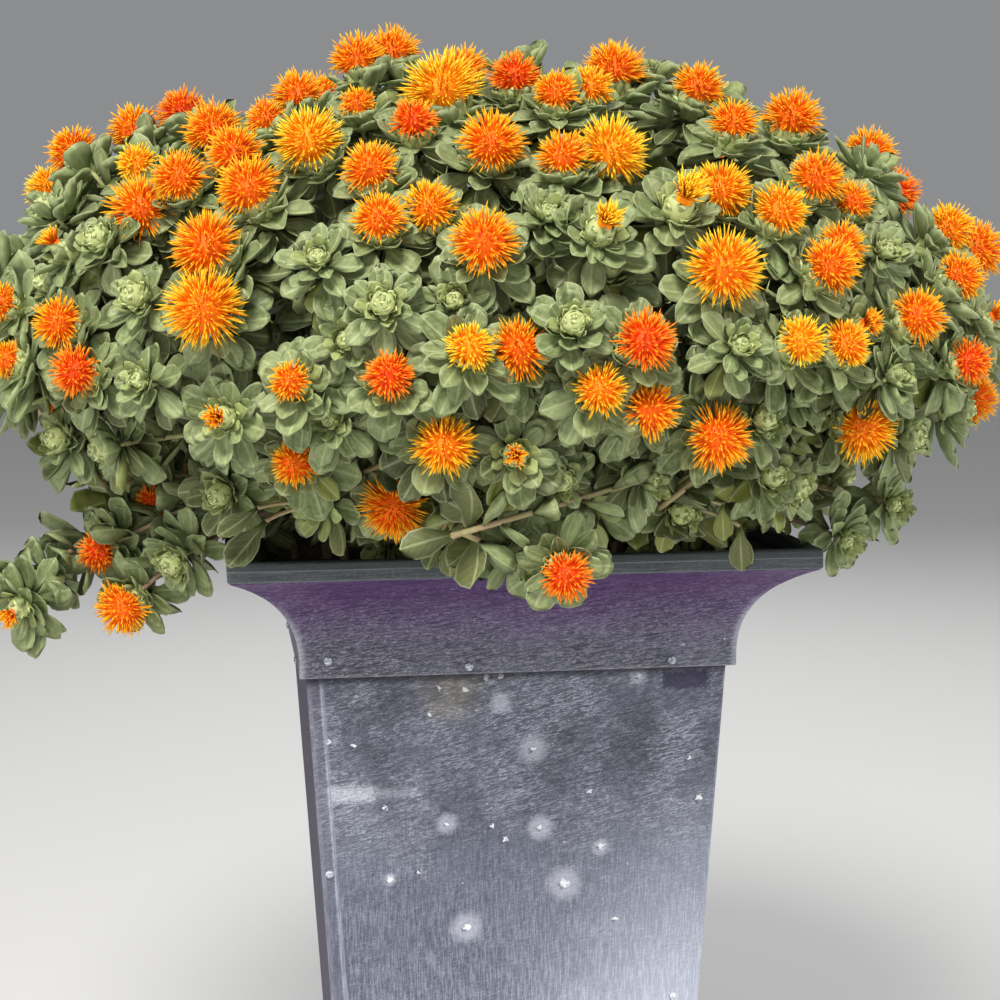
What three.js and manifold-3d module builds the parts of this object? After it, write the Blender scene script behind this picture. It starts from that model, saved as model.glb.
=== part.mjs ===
// Potted safflower: leafy flowering stems in a square zinc planter with a coved collar
import * as THREE from 'three';
import Module from 'manifold-3d';

const wasm = await Module();
wasm.setup();

// Driving dimensions of the planter, in millimetres
const RIM_WIDTH = 310;
const PLANTER_HEIGHT = 480;
const LIP_HEIGHT = 8;
const LIP_THICKNESS = 7;
const COLLAR_HEIGHT = 65;
const COLLAR_FOOT_WIDTH = 236;
const COLLAR_BAND = 7;
const COVE_BEND = 15.5;
const COVE_STEPS = 6;
const BODY_TOP_WIDTH = 227;
const BODY_TAPER = 0.062;
const BODY_OVERLAP = 18;
const SHEET = 3;
const FLOOR = 4;
const SEAM_WIDTH = 7;
const SEAM_RISE = 1;
const SOIL_BELOW_RIM = 15;
const HOLE_RADIUS = 4.7;
const COLLAR_TOP_INSET = 1;
const CLEARANCE = 0.3;
const CUT_OVERSHOOT = 1;

// Driving dimensions of the plants
const MOUND_RADIUS = 288;
const MOUND_MIDDLE = 592;
const MOUND_RISE = 150;
const MOUND_DROP = 112;
const UNDERSIDE_EASE = 1.6;
const HEAD_LIFT = 0.3;
const STEM_COUNT = 54;
const STEM_RADIUS = 4;
const STEM_SHARES = [0, 0.36, 0.68, 1];
const STEM_ARCH = 30;
const ROOT_DEPTH = 12;
const NECK_HEIGHT = 4;
const AIM_HEIGHT = 50;
const HOLE_REACH = 112;
const HOLE_CORNER_REACH = 145;
const HOLE_LIMIT = 116;
const FORK_DEPTH = 62;
const FORK_SPACING = 9;
const FORK_SHARE = 0.85;
const LOWEST_FORK = 14;
const TWIG_RADIUS = 1.3;
const TWIG_LEAN = 1.2;

// Heads: lengths in millimetres, and angles in radians above the head's own level
const HEAD_SIDES = 5;
const CORE_RADIUS = 6;
const SPRIG_CORE_RADIUS = 4.5;
const CORE_UPPER_ANGLE = 0.5;
const CORE_LOWER_ANGLE = -0.6;
const BUD_HEIGHT = 1.5;
const SMALLEST_TUFT = 7;
const TUFT_UPPER_ANGLE = 0.95;
const TUFT_LOWER_ANGLE = 0.22;
const BRACT_ANGLE = 0.42;
const BRACT_SHARE = 0.72;
const LEAF_PAST_TUFT = 10;
const SHORTEST_BLOOM_LEAF = 28;
const SHORTEST_LEAF = 20;
const LEAF_OVERREACH = 1.12;
const LEAF_SPREAD = 0.48;
const SHOULDER_ANGLE = -0.43;
const SHOULDER_SHARE = 0.62;
const SHORTEST_BLADE = 19;
const LEAST_SHRINK = 0.12;
const ROOM_MARGIN = 0.6;
const RIM_MARGIN = 2;
const WIDEST_ROOM = 90;

// How heads are shared among the stems, and how stems are kept clear of each other
const SLOPE_LENGTH = 346;
const LEAST_ROUND = 60;
const SPREAD_ROUNDS = 150;
const STEM_MARGIN = 1.3;
const PUSH_SHARE = 0.6;
const LOW_FORK_SHARE = 0.4;
const CLOSEST_ROUNDS = 10;

// The viewing point from which the front heads are placed, and its picture of 1000 by 1000 pixels
const EYE_DISTANCE = 1200;
const EYE_ABOVE_RIM = 147.7;
const EYE_TURN = THREE.MathUtils.degToRad(7.72);
const EYE_DROP = THREE.MathUtils.degToRad(6.32);
const EYE_ROLL = THREE.MathUtils.degToRad(0.38);
const FOCAL_PIXELS = 2059;
const MIDDLE_COLUMN = 490.4;
const MIDDLE_ROW = 500;
const WALK_START = 1.2;
const WALK_BEYOND = 100;
const WALK_STEP = 2;

// Blooms on the mound as that picture shows them: column, row and tuft radius in pixels
const SEEN_BLOOMS = [
  [358, 62, 26], [393, 55, 25], [462, 72, 24], [443, 93, 38], [414, 123, 23], [515, 80, 25],
  [556, 95, 22], [590, 90, 22], [614, 73, 30], [698, 90, 25], [733, 125, 24], [792, 120, 28],
  [816, 180, 27], [851, 203, 20], [136, 132, 25], [75, 153, 25], [183, 115, 25], [214, 132, 28],
  [267, 120, 20], [298, 98, 25], [358, 106, 18], [310, 143, 33], [371, 171, 28], [492, 145, 32],
  [563, 158, 25], [610, 155, 35], [50, 190, 22], [138, 165, 20], [180, 180, 27], [235, 155, 27],
  [250, 190, 32], [143, 211, 33], [208, 248, 34], [205, 310, 38], [380, 220, 26], [430, 210, 28],
  [484, 243, 33], [604, 225, 20], [684, 200, 24], [720, 193, 30], [779, 213, 27], [724, 270, 37],
  [829, 268, 28], [840, 247, 24], [947, 230, 24], [957, 278, 24], [917, 318, 27], [968, 362, 22],
  [990, 318, 15], [800, 342, 25], [845, 345, 24], [862, 325, 17], [645, 342, 30], [470, 348, 24],
  [519, 350, 30], [390, 376, 24], [291, 382, 20], [295, 463, 22], [444, 445, 30], [394, 505, 32],
  [600, 390, 25], [649, 410, 28], [718, 437, 32], [862, 427, 32], [77, 372, 24], [60, 323, 25],
  [8, 360, 18], [3, 303, 18], [58, 245, 15], [127, 478, 9], [516, 455, 10], [219, 417, 8],
];

// Leaf rosettes on the mound: column, row and radius in pixels
const SEEN_ROSETTES = [
  [137, 298, 45], [318, 258, 45], [383, 305, 42], [573, 325, 45], [740, 345, 42], [548, 213, 34],
  [506, 188, 28], [50, 283, 30], [270, 425, 46], [455, 508, 40], [762, 420, 34], [805, 390, 30],
  [140, 380, 40], [60, 440, 44], [885, 250, 34], [895, 375, 34], [455, 300, 34], [655, 70, 30],
  [220, 440, 36], [610, 270, 44], [100, 240, 30], [330, 420, 36], [540, 420, 36], [650, 480, 36],
  [560, 480, 36], [345, 340, 36],
];

// Sprigs of larger leaves at the foot of the mound: column, row and leaf reach in pixels
const SEEN_SPRIGS = [
  [245, 520, 44], [320, 510, 44], [500, 545, 44], [590, 515, 44], [650, 535, 42], [725, 520, 46],
  [790, 500, 44], [380, 545, 38],
];

// Heads that trail over the rim: kind, column, row, radius in pixels and distance from the eye
const TRAILING_HEADS = [
  ['bloom', 566, 575, 25, 965], ['rosette', 527, 560, 36, 975],
  ['bloom', 124, 607, 26, 1105], ['bloom', 100, 551, 20, 1120], ['bloom', 153, 502, 17, 1130],
  ['bloom', 14, 612, 8, 1110], ['rosette', 175, 560, 44, 1085], ['rosette', 40, 585, 36, 1115],
  ['rosette', 185, 515, 36, 1120], ['rosette', 845, 540, 40, 1120], ['rosette', 893, 505, 34, 1140],
];

// Heads that the rule adds, and how far apart heads stay
const SPIRAL_POINTS = 900;
const SPIRAL_SLOPE = 0.8;
const GOLDEN_TURN = 2.399963;
const FRONT_SPACING = 47;
const BACK_SPACING = 63;
const TIGHTEST_SPACING = 27;
const PUSH_BACK = 4;
const LAST_PUSH = 14;
const BACK_BLOOM_SHARE = 0.42;
const BACK_BLOOM_RADIUS = 15;
const BACK_ROSETTE_REACH = 38;
const BACK_LEAF_REACH = 40;
const FACED = 0.1;

const RIM_TOP = PLANTER_HEIGHT;
const LIP_BOTTOM = RIM_TOP - LIP_HEIGHT;
const COLLAR_FOOT = RIM_TOP - COLLAR_HEIGHT;
const SOIL_TOP = RIM_TOP - SOIL_BELOW_RIM;
const RIM_HALF = RIM_WIDTH / 2;

const UP = new THREE.Vector3(0, 0, 1);

// Repeatable random numbers from 0 to 1
let seed = 20719;
function random() {
  seed = (seed * 16807) % 2147483647;
  return seed / 2147483647;
}

// Turns points and faces into a solid that can be joined and cut
function solidOf({ points, faces }) {
  const vertProperties = new Float32Array(points.flatMap((point) => point.toArray()));
  const triVerts = new Uint32Array(faces.flat());
  return new wasm.Manifold(new wasm.Mesh({ numProp: 3, vertProperties, triVerts }));
}

function geometryOf(solid) {
  const mesh = solid.getMesh();
  const geometry = new THREE.BufferGeometry();
  geometry.setAttribute('position', new THREE.BufferAttribute(mesh.vertProperties, 3));
  geometry.setIndex(new THREE.BufferAttribute(mesh.triVerts, 1));
  return geometry;
}

// Skins a stack of rings that have equally many points, with a fan at each end
function skin(rings) {
  const sides = rings[0].length;
  const points = rings.flat();
  const faces = [];
  for (let level = 0; level + 1 < rings.length; level += 1) {
    for (let side = 0; side < sides; side += 1) {
      const next = (side + 1) % sides;
      const low = level * sides;
      const high = low + sides;
      faces.push([low + side, low + next, high + next], [low + side, high + next, high + side]);
    }
  }
  const last = points.length - sides;
  for (let side = 1; side + 1 < sides; side += 1) {
    faces.push([0, side + 1, side], [last, last + side, last + side + 1]);
  }
  return { points, faces };
}

function squareRing(half, height) {
  return [[-1, -1], [1, -1], [1, 1], [-1, 1]].map(
    ([x, y]) => new THREE.Vector3(x * half, y * half, height),
  );
}

// A block whose square outline changes with height, from pairs of half width and height
function squareBlock(profile) {
  return solidOf(skin(profile.map(([half, height]) => squareRing(half, height))));
}

function bodyHalf(height) {
  return BODY_TOP_WIDTH / 2 - BODY_TAPER * (COLLAR_FOOT - height);
}

// The tapered box, with the lapped seam as a low strip beside its front left edge
function makeBody() {
  const top = COLLAR_FOOT + BODY_OVERLAP;
  const seamRing = (height) => {
    const half = bodyHalf(height);
    return [
      [-half - SEAM_RISE, -half - SEAM_RISE], [-half + SEAM_WIDTH, -half - SEAM_RISE],
      [-half + SEAM_WIDTH, -half + SHEET / 2], [-half - SEAM_RISE, -half + SHEET / 2],
    ].map(([x, y]) => new THREE.Vector3(x, y, height));
  };
  const outside = squareBlock([[bodyHalf(0), 0], [bodyHalf(top), top]]);
  const seam = solidOf(skin([seamRing(0), seamRing(COLLAR_FOOT - CLEARANCE)]));
  const inside = squareBlock([
    [bodyHalf(FLOOR) - SHEET, FLOOR],
    [bodyHalf(top + CUT_OVERSHOOT) - SHEET, top + CUT_OVERSHOOT],
  ]);
  return outside.add(seam).subtract(inside);
}

// Profile of the collar, moved in by an inset: a straight band, then a hollow curve out to the lip
function coveProfile(inset) {
  const footHalf = COLLAR_FOOT_WIDTH / 2;
  const start = new THREE.Vector2(footHalf, COLLAR_FOOT + COLLAR_BAND);
  const bend = new THREE.Vector2(footHalf, LIP_BOTTOM - COVE_BEND);
  const end = new THREE.Vector2(RIM_HALF - COLLAR_TOP_INSET, LIP_BOTTOM - CLEARANCE);
  const curve = new THREE.QuadraticBezierCurve(start, bend, end);
  const profile = [[footHalf - inset, COLLAR_FOOT]];
  for (let step = 0; step <= COVE_STEPS; step += 1) {
    const { x, y } = curve.getPoint(step / COVE_STEPS);
    const along = curve.getTangent(step / COVE_STEPS);
    const [half, height] = [x - inset * along.y, y + inset * along.x];
    const [lastHalf, lastHeight] = profile.at(-1);
    if (height < end.y) {
      profile.push([half, height]);
    } else {
      const share = (end.y - lastHeight) / (height - lastHeight);
      profile.push([lastHalf + (half - lastHalf) * share, end.y]);
      break;
    }
  }
  return profile;
}

function makeCollar() {
  const inner = coveProfile(SHEET);
  inner[0][1] -= CUT_OVERSHOOT;
  inner.push([inner.at(-1)[0], LIP_BOTTOM + CUT_OVERSHOOT]);
  return squareBlock(coveProfile(0)).subtract(squareBlock(inner));
}

// The folded edge along the top of the collar
function makeLip() {
  const outer = squareBlock([[RIM_HALF, LIP_BOTTOM], [RIM_HALF, RIM_TOP]]);
  const innerHalf = RIM_HALF - LIP_THICKNESS;
  const opening = [[innerHalf, LIP_BOTTOM - CUT_OVERSHOOT], [innerHalf, RIM_TOP + CUT_OVERSHOOT]];
  return outer.subtract(squareBlock(opening));
}

// Soil fills the box and the collar, with a plain hole for each stem
function makeSoil(stems) {
  const inset = SHEET + CLEARANCE;
  const bodyTop = COLLAR_FOOT + BODY_OVERLAP;
  const profile = [
    [bodyHalf(FLOOR) - inset, FLOOR + CLEARANCE],
    [bodyHalf(bodyTop + CLEARANCE) - inset, bodyTop + CLEARANCE],
  ];
  const cove = coveProfile(inset + CLEARANCE);
  const shoulder = bodyTop + 2 * CLEARANCE;
  for (const [index, [half, height]] of cove.entries()) {
    const [lastHalf, lastHeight] = cove[Math.max(index - 1, 0)];
    const cut = [shoulder, SOIL_TOP].find((level) => lastHeight < level && height >= level);
    if (cut !== undefined) {
      const share = (cut - lastHeight) / (height - lastHeight);
      profile.push([lastHalf + (half - lastHalf) * share, cut]);
    }
    if (height > shoulder && height < SOIL_TOP) profile.push([half, height]);
  }
  let soil = squareBlock(profile);
  for (const stem of stems) {
    const directions = stemDirections(stem).at(-1);
    const foot = stem.root.clone().setZ(SOIL_TOP - ROOT_DEPTH - CLEARANCE);
    const mouth = stem.root.clone().setZ(SOIL_TOP + CUT_OVERSHOOT);
    const hole = skin([foot, mouth].map((at) => ringAt(at, directions, HOLE_RADIUS)));
    soil = soil.subtract(solidOf(hole));
  }
  return soil;
}

// The sight line of a picture point
const eye = new THREE.Vector3(
  -EYE_DISTANCE * Math.sin(EYE_TURN), -EYE_DISTANCE * Math.cos(EYE_TURN), RIM_TOP + EYE_ABOVE_RIM,
);
function sightLine(column, row) {
  const forward = new THREE.Vector3(
    Math.sin(EYE_TURN) * Math.cos(EYE_DROP), Math.cos(EYE_TURN) * Math.cos(EYE_DROP), -Math.sin(EYE_DROP),
  );
  const right = forward.clone().cross(UP).normalize().applyAxisAngle(forward, EYE_ROLL);
  const above = right.clone().cross(forward);
  return forward.addScaledVector(right, (column - MIDDLE_COLUMN) / FOCAL_PIXELS)
    .addScaledVector(above, (MIDDLE_ROW - row) / FOCAL_PIXELS).normalize();
}

// Zero on the mound's surface, negative inside: a flattened dome that closes in again below
function moundDepth(point) {
  const height = point.z - MOUND_MIDDLE;
  const tall = height > 0 ? MOUND_RISE : MOUND_DROP;
  return Math.hypot(point.x / MOUND_RADIUS, point.y / MOUND_RADIUS, height / tall) - 1;
}

// Heads face outward from the mound, and a little upward
function headAxis(point) {
  const height = point.z - MOUND_MIDDLE;
  const tall = height > 0 ? MOUND_RISE : MOUND_DROP * UNDERSIDE_EASE;
  const outward = new THREE.Vector3(point.x, point.y, 0).divideScalar(MOUND_RADIUS ** 2);
  outward.z = height / tall ** 2;
  return outward.normalize().addScaledVector(UP, HEAD_LIFT).normalize();
}

// Walks a sight line to where it meets the mound, or passes it most closely
function meetMound(direction) {
  const walker = new THREE.Vector3();
  let nearest = Infinity;
  let distance = EYE_DISTANCE;
  const first = EYE_DISTANCE - WALK_START * MOUND_RADIUS;
  for (let step = first; step < EYE_DISTANCE + WALK_BEYOND; step += WALK_STEP) {
    const depth = moundDepth(walker.copy(eye).addScaledVector(direction, step));
    if (depth <= 0) return step;
    if (depth < nearest) {
      nearest = depth;
      distance = step;
    }
  }
  return distance;
}

function distanceToHeads(point, heads) {
  return heads.reduce((least, head) => Math.min(least, head.at.distanceTo(point)), Infinity);
}

function addSeenHead(heads, kind, column, row, radius, distance) {
  const direction = sightLine(column, row);
  const at = eye.clone().addScaledVector(direction, distance ?? meetMound(direction));
  for (let push = 0; push < LAST_PUSH; push += 1) {
    if (distanceToHeads(at, heads) > TIGHTEST_SPACING) break;
    at.addScaledVector(direction, PUSH_BACK);
  }
  const reach = radius * at.distanceTo(eye) / FOCAL_PIXELS;
  heads.push({ kind, at, axis: headAxis(at), reach, turn: random() * 2 * Math.PI, seen: true });
}

// Heads between the seen ones and round the back, along a spiral over the mound
function addRuleHeads(heads) {
  for (let index = 0; index < SPIRAL_POINTS; index += 1) {
    const share = (index + 0.5) / SPIRAL_POINTS;
    const slope = Math.PI * SPIRAL_SLOPE * Math.sqrt(share);
    const turn = index * GOLDEN_TURN;
    const tall = slope < Math.PI / 2 ? MOUND_RISE : MOUND_DROP;
    const at = new THREE.Vector3(
      MOUND_RADIUS * Math.sin(slope) * Math.cos(turn),
      MOUND_RADIUS * Math.sin(slope) * Math.sin(turn),
      MOUND_MIDDLE + tall * Math.cos(slope),
    );
    const faced = headAxis(at).dot(eye.clone().sub(at).normalize()) > FACED;
    const draw = random();
    const rollAngle = random() * 2 * Math.PI;
    if (distanceToHeads(at, heads) < (faced ? FRONT_SPACING : BACK_SPACING)) continue;
    const kind = !faced && draw < BACK_BLOOM_SHARE ? 'bloom' : 'rosette';
    const reach = kind === 'bloom' ? BACK_BLOOM_RADIUS : BACK_ROSETTE_REACH;
    heads.push({ kind, at, axis: headAxis(at), reach, turn: rollAngle, seen: false });
  }
}

function placeHeads() {
  const heads = [];
  for (const [kind, ...place] of TRAILING_HEADS) addSeenHead(heads, kind, ...place);
  for (const place of SEEN_BLOOMS) addSeenHead(heads, 'bloom', ...place);
  for (const place of SEEN_ROSETTES) addSeenHead(heads, 'rosette', ...place);
  for (const place of SEEN_SPRIGS) addSeenHead(heads, 'sprig', ...place);
  addRuleHeads(heads);
  return heads;
}

// Where a head lies round the mound and down its side, as lengths along the surface
function spreadOf({ at }) {
  const turn = Math.atan2(at.y, at.x);
  const slope = Math.atan2(Math.hypot(at.x, at.y), at.z - SOIL_TOP);
  return { round: turn * Math.max(LEAST_ROUND, Math.hypot(at.x, at.y)), down: slope * SLOPE_LENGTH };
}

// Halves the largest set of heads across its wider way until there is one set for each stem
function shareHeads(heads) {
  const sets = [heads];
  while (sets.length < STEM_COUNT) {
    sets.sort((one, two) => two.length - one.length || spanOf(two).widest - spanOf(one).widest);
    const [largest] = sets.splice(0, 1);
    const { way } = spanOf(largest);
    const sorted = [...largest].sort((one, two) => spreadOf(one)[way] - spreadOf(two)[way]);
    const half = Math.floor(sorted.length / 2);
    sets.push(sorted.slice(0, half), sorted.slice(half));
  }
  return sets;
}

function spanOf(set) {
  const spans = ['round', 'down'].map((way) => {
    const places = set.map((head) => spreadOf(head)[way]);
    return { way, widest: Math.max(...places) - Math.min(...places) };
  });
  return spans[0].widest > spans[1].widest ? spans[0] : spans[1];
}

// Each stem has a root in the soil, a fork inside the mound and a twig to each of its heads
function planStem(heads, shift) {
  const middle = new THREE.Vector3();
  for (const head of heads) middle.addScaledVector(head.at, 1 / heads.length);
  const turn = Math.atan2(middle.y, middle.x);
  const slope = Math.atan2(Math.hypot(middle.x, middle.y), middle.z - SOIL_TOP) / (Math.PI / 2);
  const square = Math.max(Math.abs(Math.cos(turn)), Math.abs(Math.sin(turn)));
  const out = slope * Math.min(HOLE_CORNER_REACH, HOLE_REACH / square);
  const root = new THREE.Vector3(out * Math.cos(turn), out * Math.sin(turn), SOIL_TOP).add(shift.root);
  root.x = THREE.MathUtils.clamp(root.x, -HOLE_LIMIT, HOLE_LIMIT);
  root.y = THREE.MathUtils.clamp(root.y, -HOLE_LIMIT, HOLE_LIMIT);
  const aim = root.clone().setZ(SOIL_TOP + AIM_HEIGHT);
  const fork = middle.clone().addScaledVector(aim.sub(middle).normalize(), FORK_DEPTH).add(shift.fork);
  fork.z = Math.max(fork.z, RIM_TOP + LOWEST_FORK);
  const neck = root.clone().setZ(SOIL_TOP + NECK_HEIGHT);
  const bend = root.clone().setZ(SOIL_TOP + (fork.z - SOIL_TOP) / 2 + STEM_ARCH);
  const curve = new THREE.QuadraticBezierCurve3(fork, bend, neck);
  const foot = root.clone().setZ(SOIL_TOP - ROOT_DEPTH);
  const bends = [...STEM_SHARES.map((share) => curve.getPoint(share)), foot];
  const back = bends[1].clone().sub(fork);
  const spacing = Math.min(FORK_SPACING, (back.length() * FORK_SHARE) / heads.length);
  back.normalize();
  const straightness = (head) => head.at.clone().sub(fork).angleTo(back);
  const ordered = [...heads].sort((one, two) => straightness(two) - straightness(one));
  const twigs = ordered.map((head, index) => {
    const start = fork.clone().addScaledVector(back, index * spacing);
    const along = head.at.clone().sub(start).normalize();
    head.axis = headAxis(head.at).addScaledVector(along, TWIG_LEAN).normalize();
    return { head, start };
  });
  const stem = { root, bends, twigs };
  for (const head of heads) head.stem = stem;
  return stem;
}

// Moves roots and forks apart, round by round, until every two stems pass clear of each other
function spreadStems(sets) {
  const shifts = sets.map(() => ({ root: new THREE.Vector3(), fork: new THREE.Vector3() }));
  let stems = sets.map((set, index) => planStem(set, shifts[index]));
  for (let round = 0; round < SPREAD_ROUNDS; round += 1) {
    const stretches = listStretches(stems);
    let crossings = 0;
    stretches.forEach((one, index) => {
      for (const two of stretches.slice(index + 1)) {
        const reach = one.half + two.half + 2 * CORE_RADIUS;
        if (one.stem === two.stem || one.middle.distanceTo(two.middle) > reach) continue;
        const [here, there] = closestPoints(one, two);
        const apart = here.point.distanceTo(there.point);
        const lack = here.radius + there.radius + STEM_MARGIN - apart;
        if (lack <= 0) continue;
        crossings += 1;
        const push = here.point.clone().sub(there.point);
        if (apart === 0) push.copy(UP);
        push.normalize().multiplyScalar(lack * PUSH_SHARE);
        shiftStem(shifts[stems.indexOf(one.stem)], one, push);
        shiftStem(shifts[stems.indexOf(two.stem)], two, push.negate());
      }
    });
    if (crossings === 0) break;
    stems = sets.map((set, index) => planStem(set, shifts[index]));
  }
  return stems;
}

// A stem pushed near its fork moves its fork, and one pushed lower down its root as well
function shiftStem(shift, stretch, push) {
  shift.fork.addScaledVector(push, stretch.low ? LOW_FORK_SHARE : 1);
  if (stretch.low) shift.root.add(push.clone().setZ(0));
}

// The points of two stretches of stem that lie closest together
function closestPoints(one, two) {
  let here = { point: one.middle };
  let there = here;
  for (let step = 0; step <= CLOSEST_ROUNDS; step += 1) {
    there = nearestOnStretch(two, here.point);
    here = nearestOnStretch(one, there.point);
  }
  return [here, there];
}

// Directions of a twig's three edges, square to the twig and turned like its head
function twigDirections({ head, start }) {
  const [east, north] = headFrame(head);
  const along = head.at.clone().sub(start).normalize();
  return [0, 1, 2].map((corner) => {
    const angle = head.turn + Math.PI / HEAD_SIDES + (corner * 2 * Math.PI) / 3;
    const outward = east.clone().multiplyScalar(Math.cos(angle)).addScaledVector(north, Math.sin(angle));
    return outward.addScaledVector(along, -outward.dot(along)).normalize();
  });
}

// Directions of a stem's three edges at each bend, carried down without twist from its leading twig
function stemDirections({ bends, twigs }) {
  const [{ head, start }] = twigs;
  let along = head.at.clone().sub(start).normalize();
  let directions = twigDirections(twigs[0]);
  const last = bends.length - 1;
  return bends.map((bend, index) => {
    const above = index === 0 ? head.at : bends[index - 1];
    const ahead = index >= last - 1 ? UP.clone() : above.clone().sub(bends[index + 1]).normalize();
    const turnBy = new THREE.Quaternion().setFromUnitVectors(along, ahead);
    directions = directions.map((direction) => direction.clone().applyQuaternion(turnBy));
    along = ahead;
    return directions;
  });
}

function ringAt(at, directions, radius) {
  return directions.map((direction) => at.clone().addScaledVector(direction, radius));
}

// Two directions square to a head's axis and to each other
function headFrame({ axis }) {
  const reference = Math.abs(axis.x) < 0.8 ? new THREE.Vector3(1, 0, 0) : UP;
  const east = axis.clone().cross(reference).normalize();
  return [east, axis.clone().cross(east)];
}

// The point of a stretch of stem that lies nearest to a place
function nearestOnStretch({ from, to, fromRadius, toRadius }, place) {
  const way = to.clone().sub(from);
  const share = THREE.MathUtils.clamp(place.clone().sub(from).dot(way) / way.lengthSq(), 0, 1);
  const radius = fromRadius + (toRadius - fromRadius) * share;
  return { point: from.clone().addScaledVector(way, share), radius };
}

// The walls of a head's own room: half way to each neighbour, clear of other stems and the planter
function roomWalls(head, heads, stretches) {
  const walls = [];
  for (const other of heads) {
    const apart = other.at.distanceTo(head.at);
    if (other === head || apart > WIDEST_ROOM) continue;
    const normal = other.at.clone().sub(head.at).divideScalar(apart);
    walls.push({ normal, room: apart / 2 - ROOM_MARGIN });
  }
  for (const stretch of stretches) {
    if (stretch.stem === head.stem) continue;
    const { point, radius } = nearestOnStretch(stretch, head.at);
    const apart = point.distanceTo(head.at);
    if (apart > WIDEST_ROOM) continue;
    walls.push({ normal: point.sub(head.at).divideScalar(apart), room: apart - radius - ROOM_MARGIN });
  }
  const { x, y, z } = head.at;
  const sides = [
    [new THREE.Vector3(0, 0, -1), z - RIM_TOP],
    [new THREE.Vector3(-Math.sign(x), 0, 0), Math.abs(x) - RIM_HALF],
    [new THREE.Vector3(0, -Math.sign(y), 0), Math.abs(y) - RIM_HALF],
  ].sort((one, two) => two[1] - one[1]);
  walls.push({ normal: sides[0][0], room: sides[0][1] - RIM_MARGIN });
  return walls;
}

// Every straight stretch of stem and twig, with its thickness at both ends
function listStretches(stems) {
  const stretches = [];
  for (const stem of stems) {
    const add = (from, to, fromRadius, toRadius, low) => {
      const middle = from.clone().lerp(to, 0.5);
      const half = from.distanceTo(to) / 2;
      stretches.push({ stem, from, to, fromRadius, toRadius, low, middle, half });
    };
    stem.bends.slice(1).forEach((bend, index) => {
      add(stem.bends[index], bend, STEM_RADIUS, STEM_RADIUS, index > 0);
    });
    stem.twigs.forEach(({ head, start }, index) => {
      add(start, head.at, index === 0 ? STEM_RADIUS : TWIG_RADIUS, CORE_RADIUS, false);
    });
  }
  return stretches;
}

// A leaf that grows from a face of the head: a flat blade with a raised rib
function addLeaf(points, faces, [a, b, c], [left, right, tip]) {
  const first = points.push(left, right, tip) - 3;
  const [p, q, t] = [first, first + 1, first + 2];
  faces.push([a, b, q], [a, q, p], [p, q, t], [b, c, q], [q, c, t], [c, p, t], [c, a, p]);
}

function addSpike(points, faces, [a, b, c], tip) {
  const t = points.push(tip) - 1;
  faces.push([a, b, t], [b, c, t], [c, a, t]);
}

// A head: florets or bracts above, leaves below and its twig, all raised from a small core
function headSurface(head, heads, stretches, twigRings) {
  const { kind, at, axis, reach, turn } = head;
  const [east, north] = headFrame(head);
  const walls = roomWalls(head, heads, stretches);
  const place = (azimuth, elevation, length) => {
    const offset = axis.clone().multiplyScalar(Math.sin(elevation) * length)
      .addScaledVector(east, Math.cos(azimuth + turn) * Math.cos(elevation) * length)
      .addScaledVector(north, Math.sin(azimuth + turn) * Math.cos(elevation) * length);
    let shrink = 1;
    for (const { normal, room } of walls) {
      const toward = offset.dot(normal);
      if (toward > room) shrink = Math.min(shrink, room / toward);
    }
    return offset.multiplyScalar(Math.max(shrink, LEAST_SHRINK)).add(at);
  };
  const step = (2 * Math.PI) / HEAD_SIDES;
  const isBloom = kind === 'bloom';
  const core = kind === 'sprig' ? SPRIG_CORE_RADIUS : CORE_RADIUS;
  const tuft = Math.max(reach, SMALLEST_TUFT);
  const bloomLeaf = head.seen ? Math.max(SHORTEST_BLOOM_LEAF, reach + LEAF_PAST_TUFT) : BACK_LEAF_REACH;
  const leaf = isBloom ? bloomLeaf : Math.max(reach, SHORTEST_LEAF) * LEAF_OVERREACH;
  const points = [place(0, Math.PI / 2, isBloom ? tuft : core * BUD_HEIGHT)];
  for (let side = 0; side < HEAD_SIDES; side += 1) {
    points.push(place(side * step, CORE_UPPER_ANGLE, core));
  }
  for (let side = 0; side < HEAD_SIDES; side += 1) {
    points.push(place((side + 0.5) * step, CORE_LOWER_ANGLE, core));
  }
  const faces = [];
  const growLeaf = (face, azimuth) => {
    const tip = place(azimuth, 0, leaf);
    if (tip.distanceTo(at) < SHORTEST_BLADE) {
      addSpike(points, faces, face, tip);
      return;
    }
    const shoulders = [-LEAF_SPREAD, LEAF_SPREAD].map(
      (spread) => place(azimuth + spread, SHOULDER_ANGLE, leaf * SHOULDER_SHARE),
    );
    addLeaf(points, faces, face, [...shoulders, tip]);
  };
  for (let side = 0; side < HEAD_SIDES; side += 1) {
    const next = (side + 1) % HEAD_SIDES;
    const [upper, upperNext, lower, lowerNext] = [1 + side, 1 + next, 6 + side, 6 + next];
    const between = (side + 0.5) * step;
    if (isBloom) {
      addSpike(points, faces, [0, upper, upperNext], place(between, TUFT_UPPER_ANGLE, tuft));
      addSpike(points, faces, [upper, lower, upperNext], place(between, TUFT_LOWER_ANGLE, tuft));
    } else if (kind === 'rosette') {
      faces.push([0, upper, upperNext]);
      addSpike(points, faces, [upper, lower, upperNext], place(between, BRACT_ANGLE, leaf * BRACT_SHARE));
    } else {
      faces.push([0, upper, upperNext], [upper, lower, upperNext]);
    }
    growLeaf([lower, lowerNext, upperNext], (side + 1) * step);
  }
  addTwig(points, faces, twigRings);
  return { points, faces };
}

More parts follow.
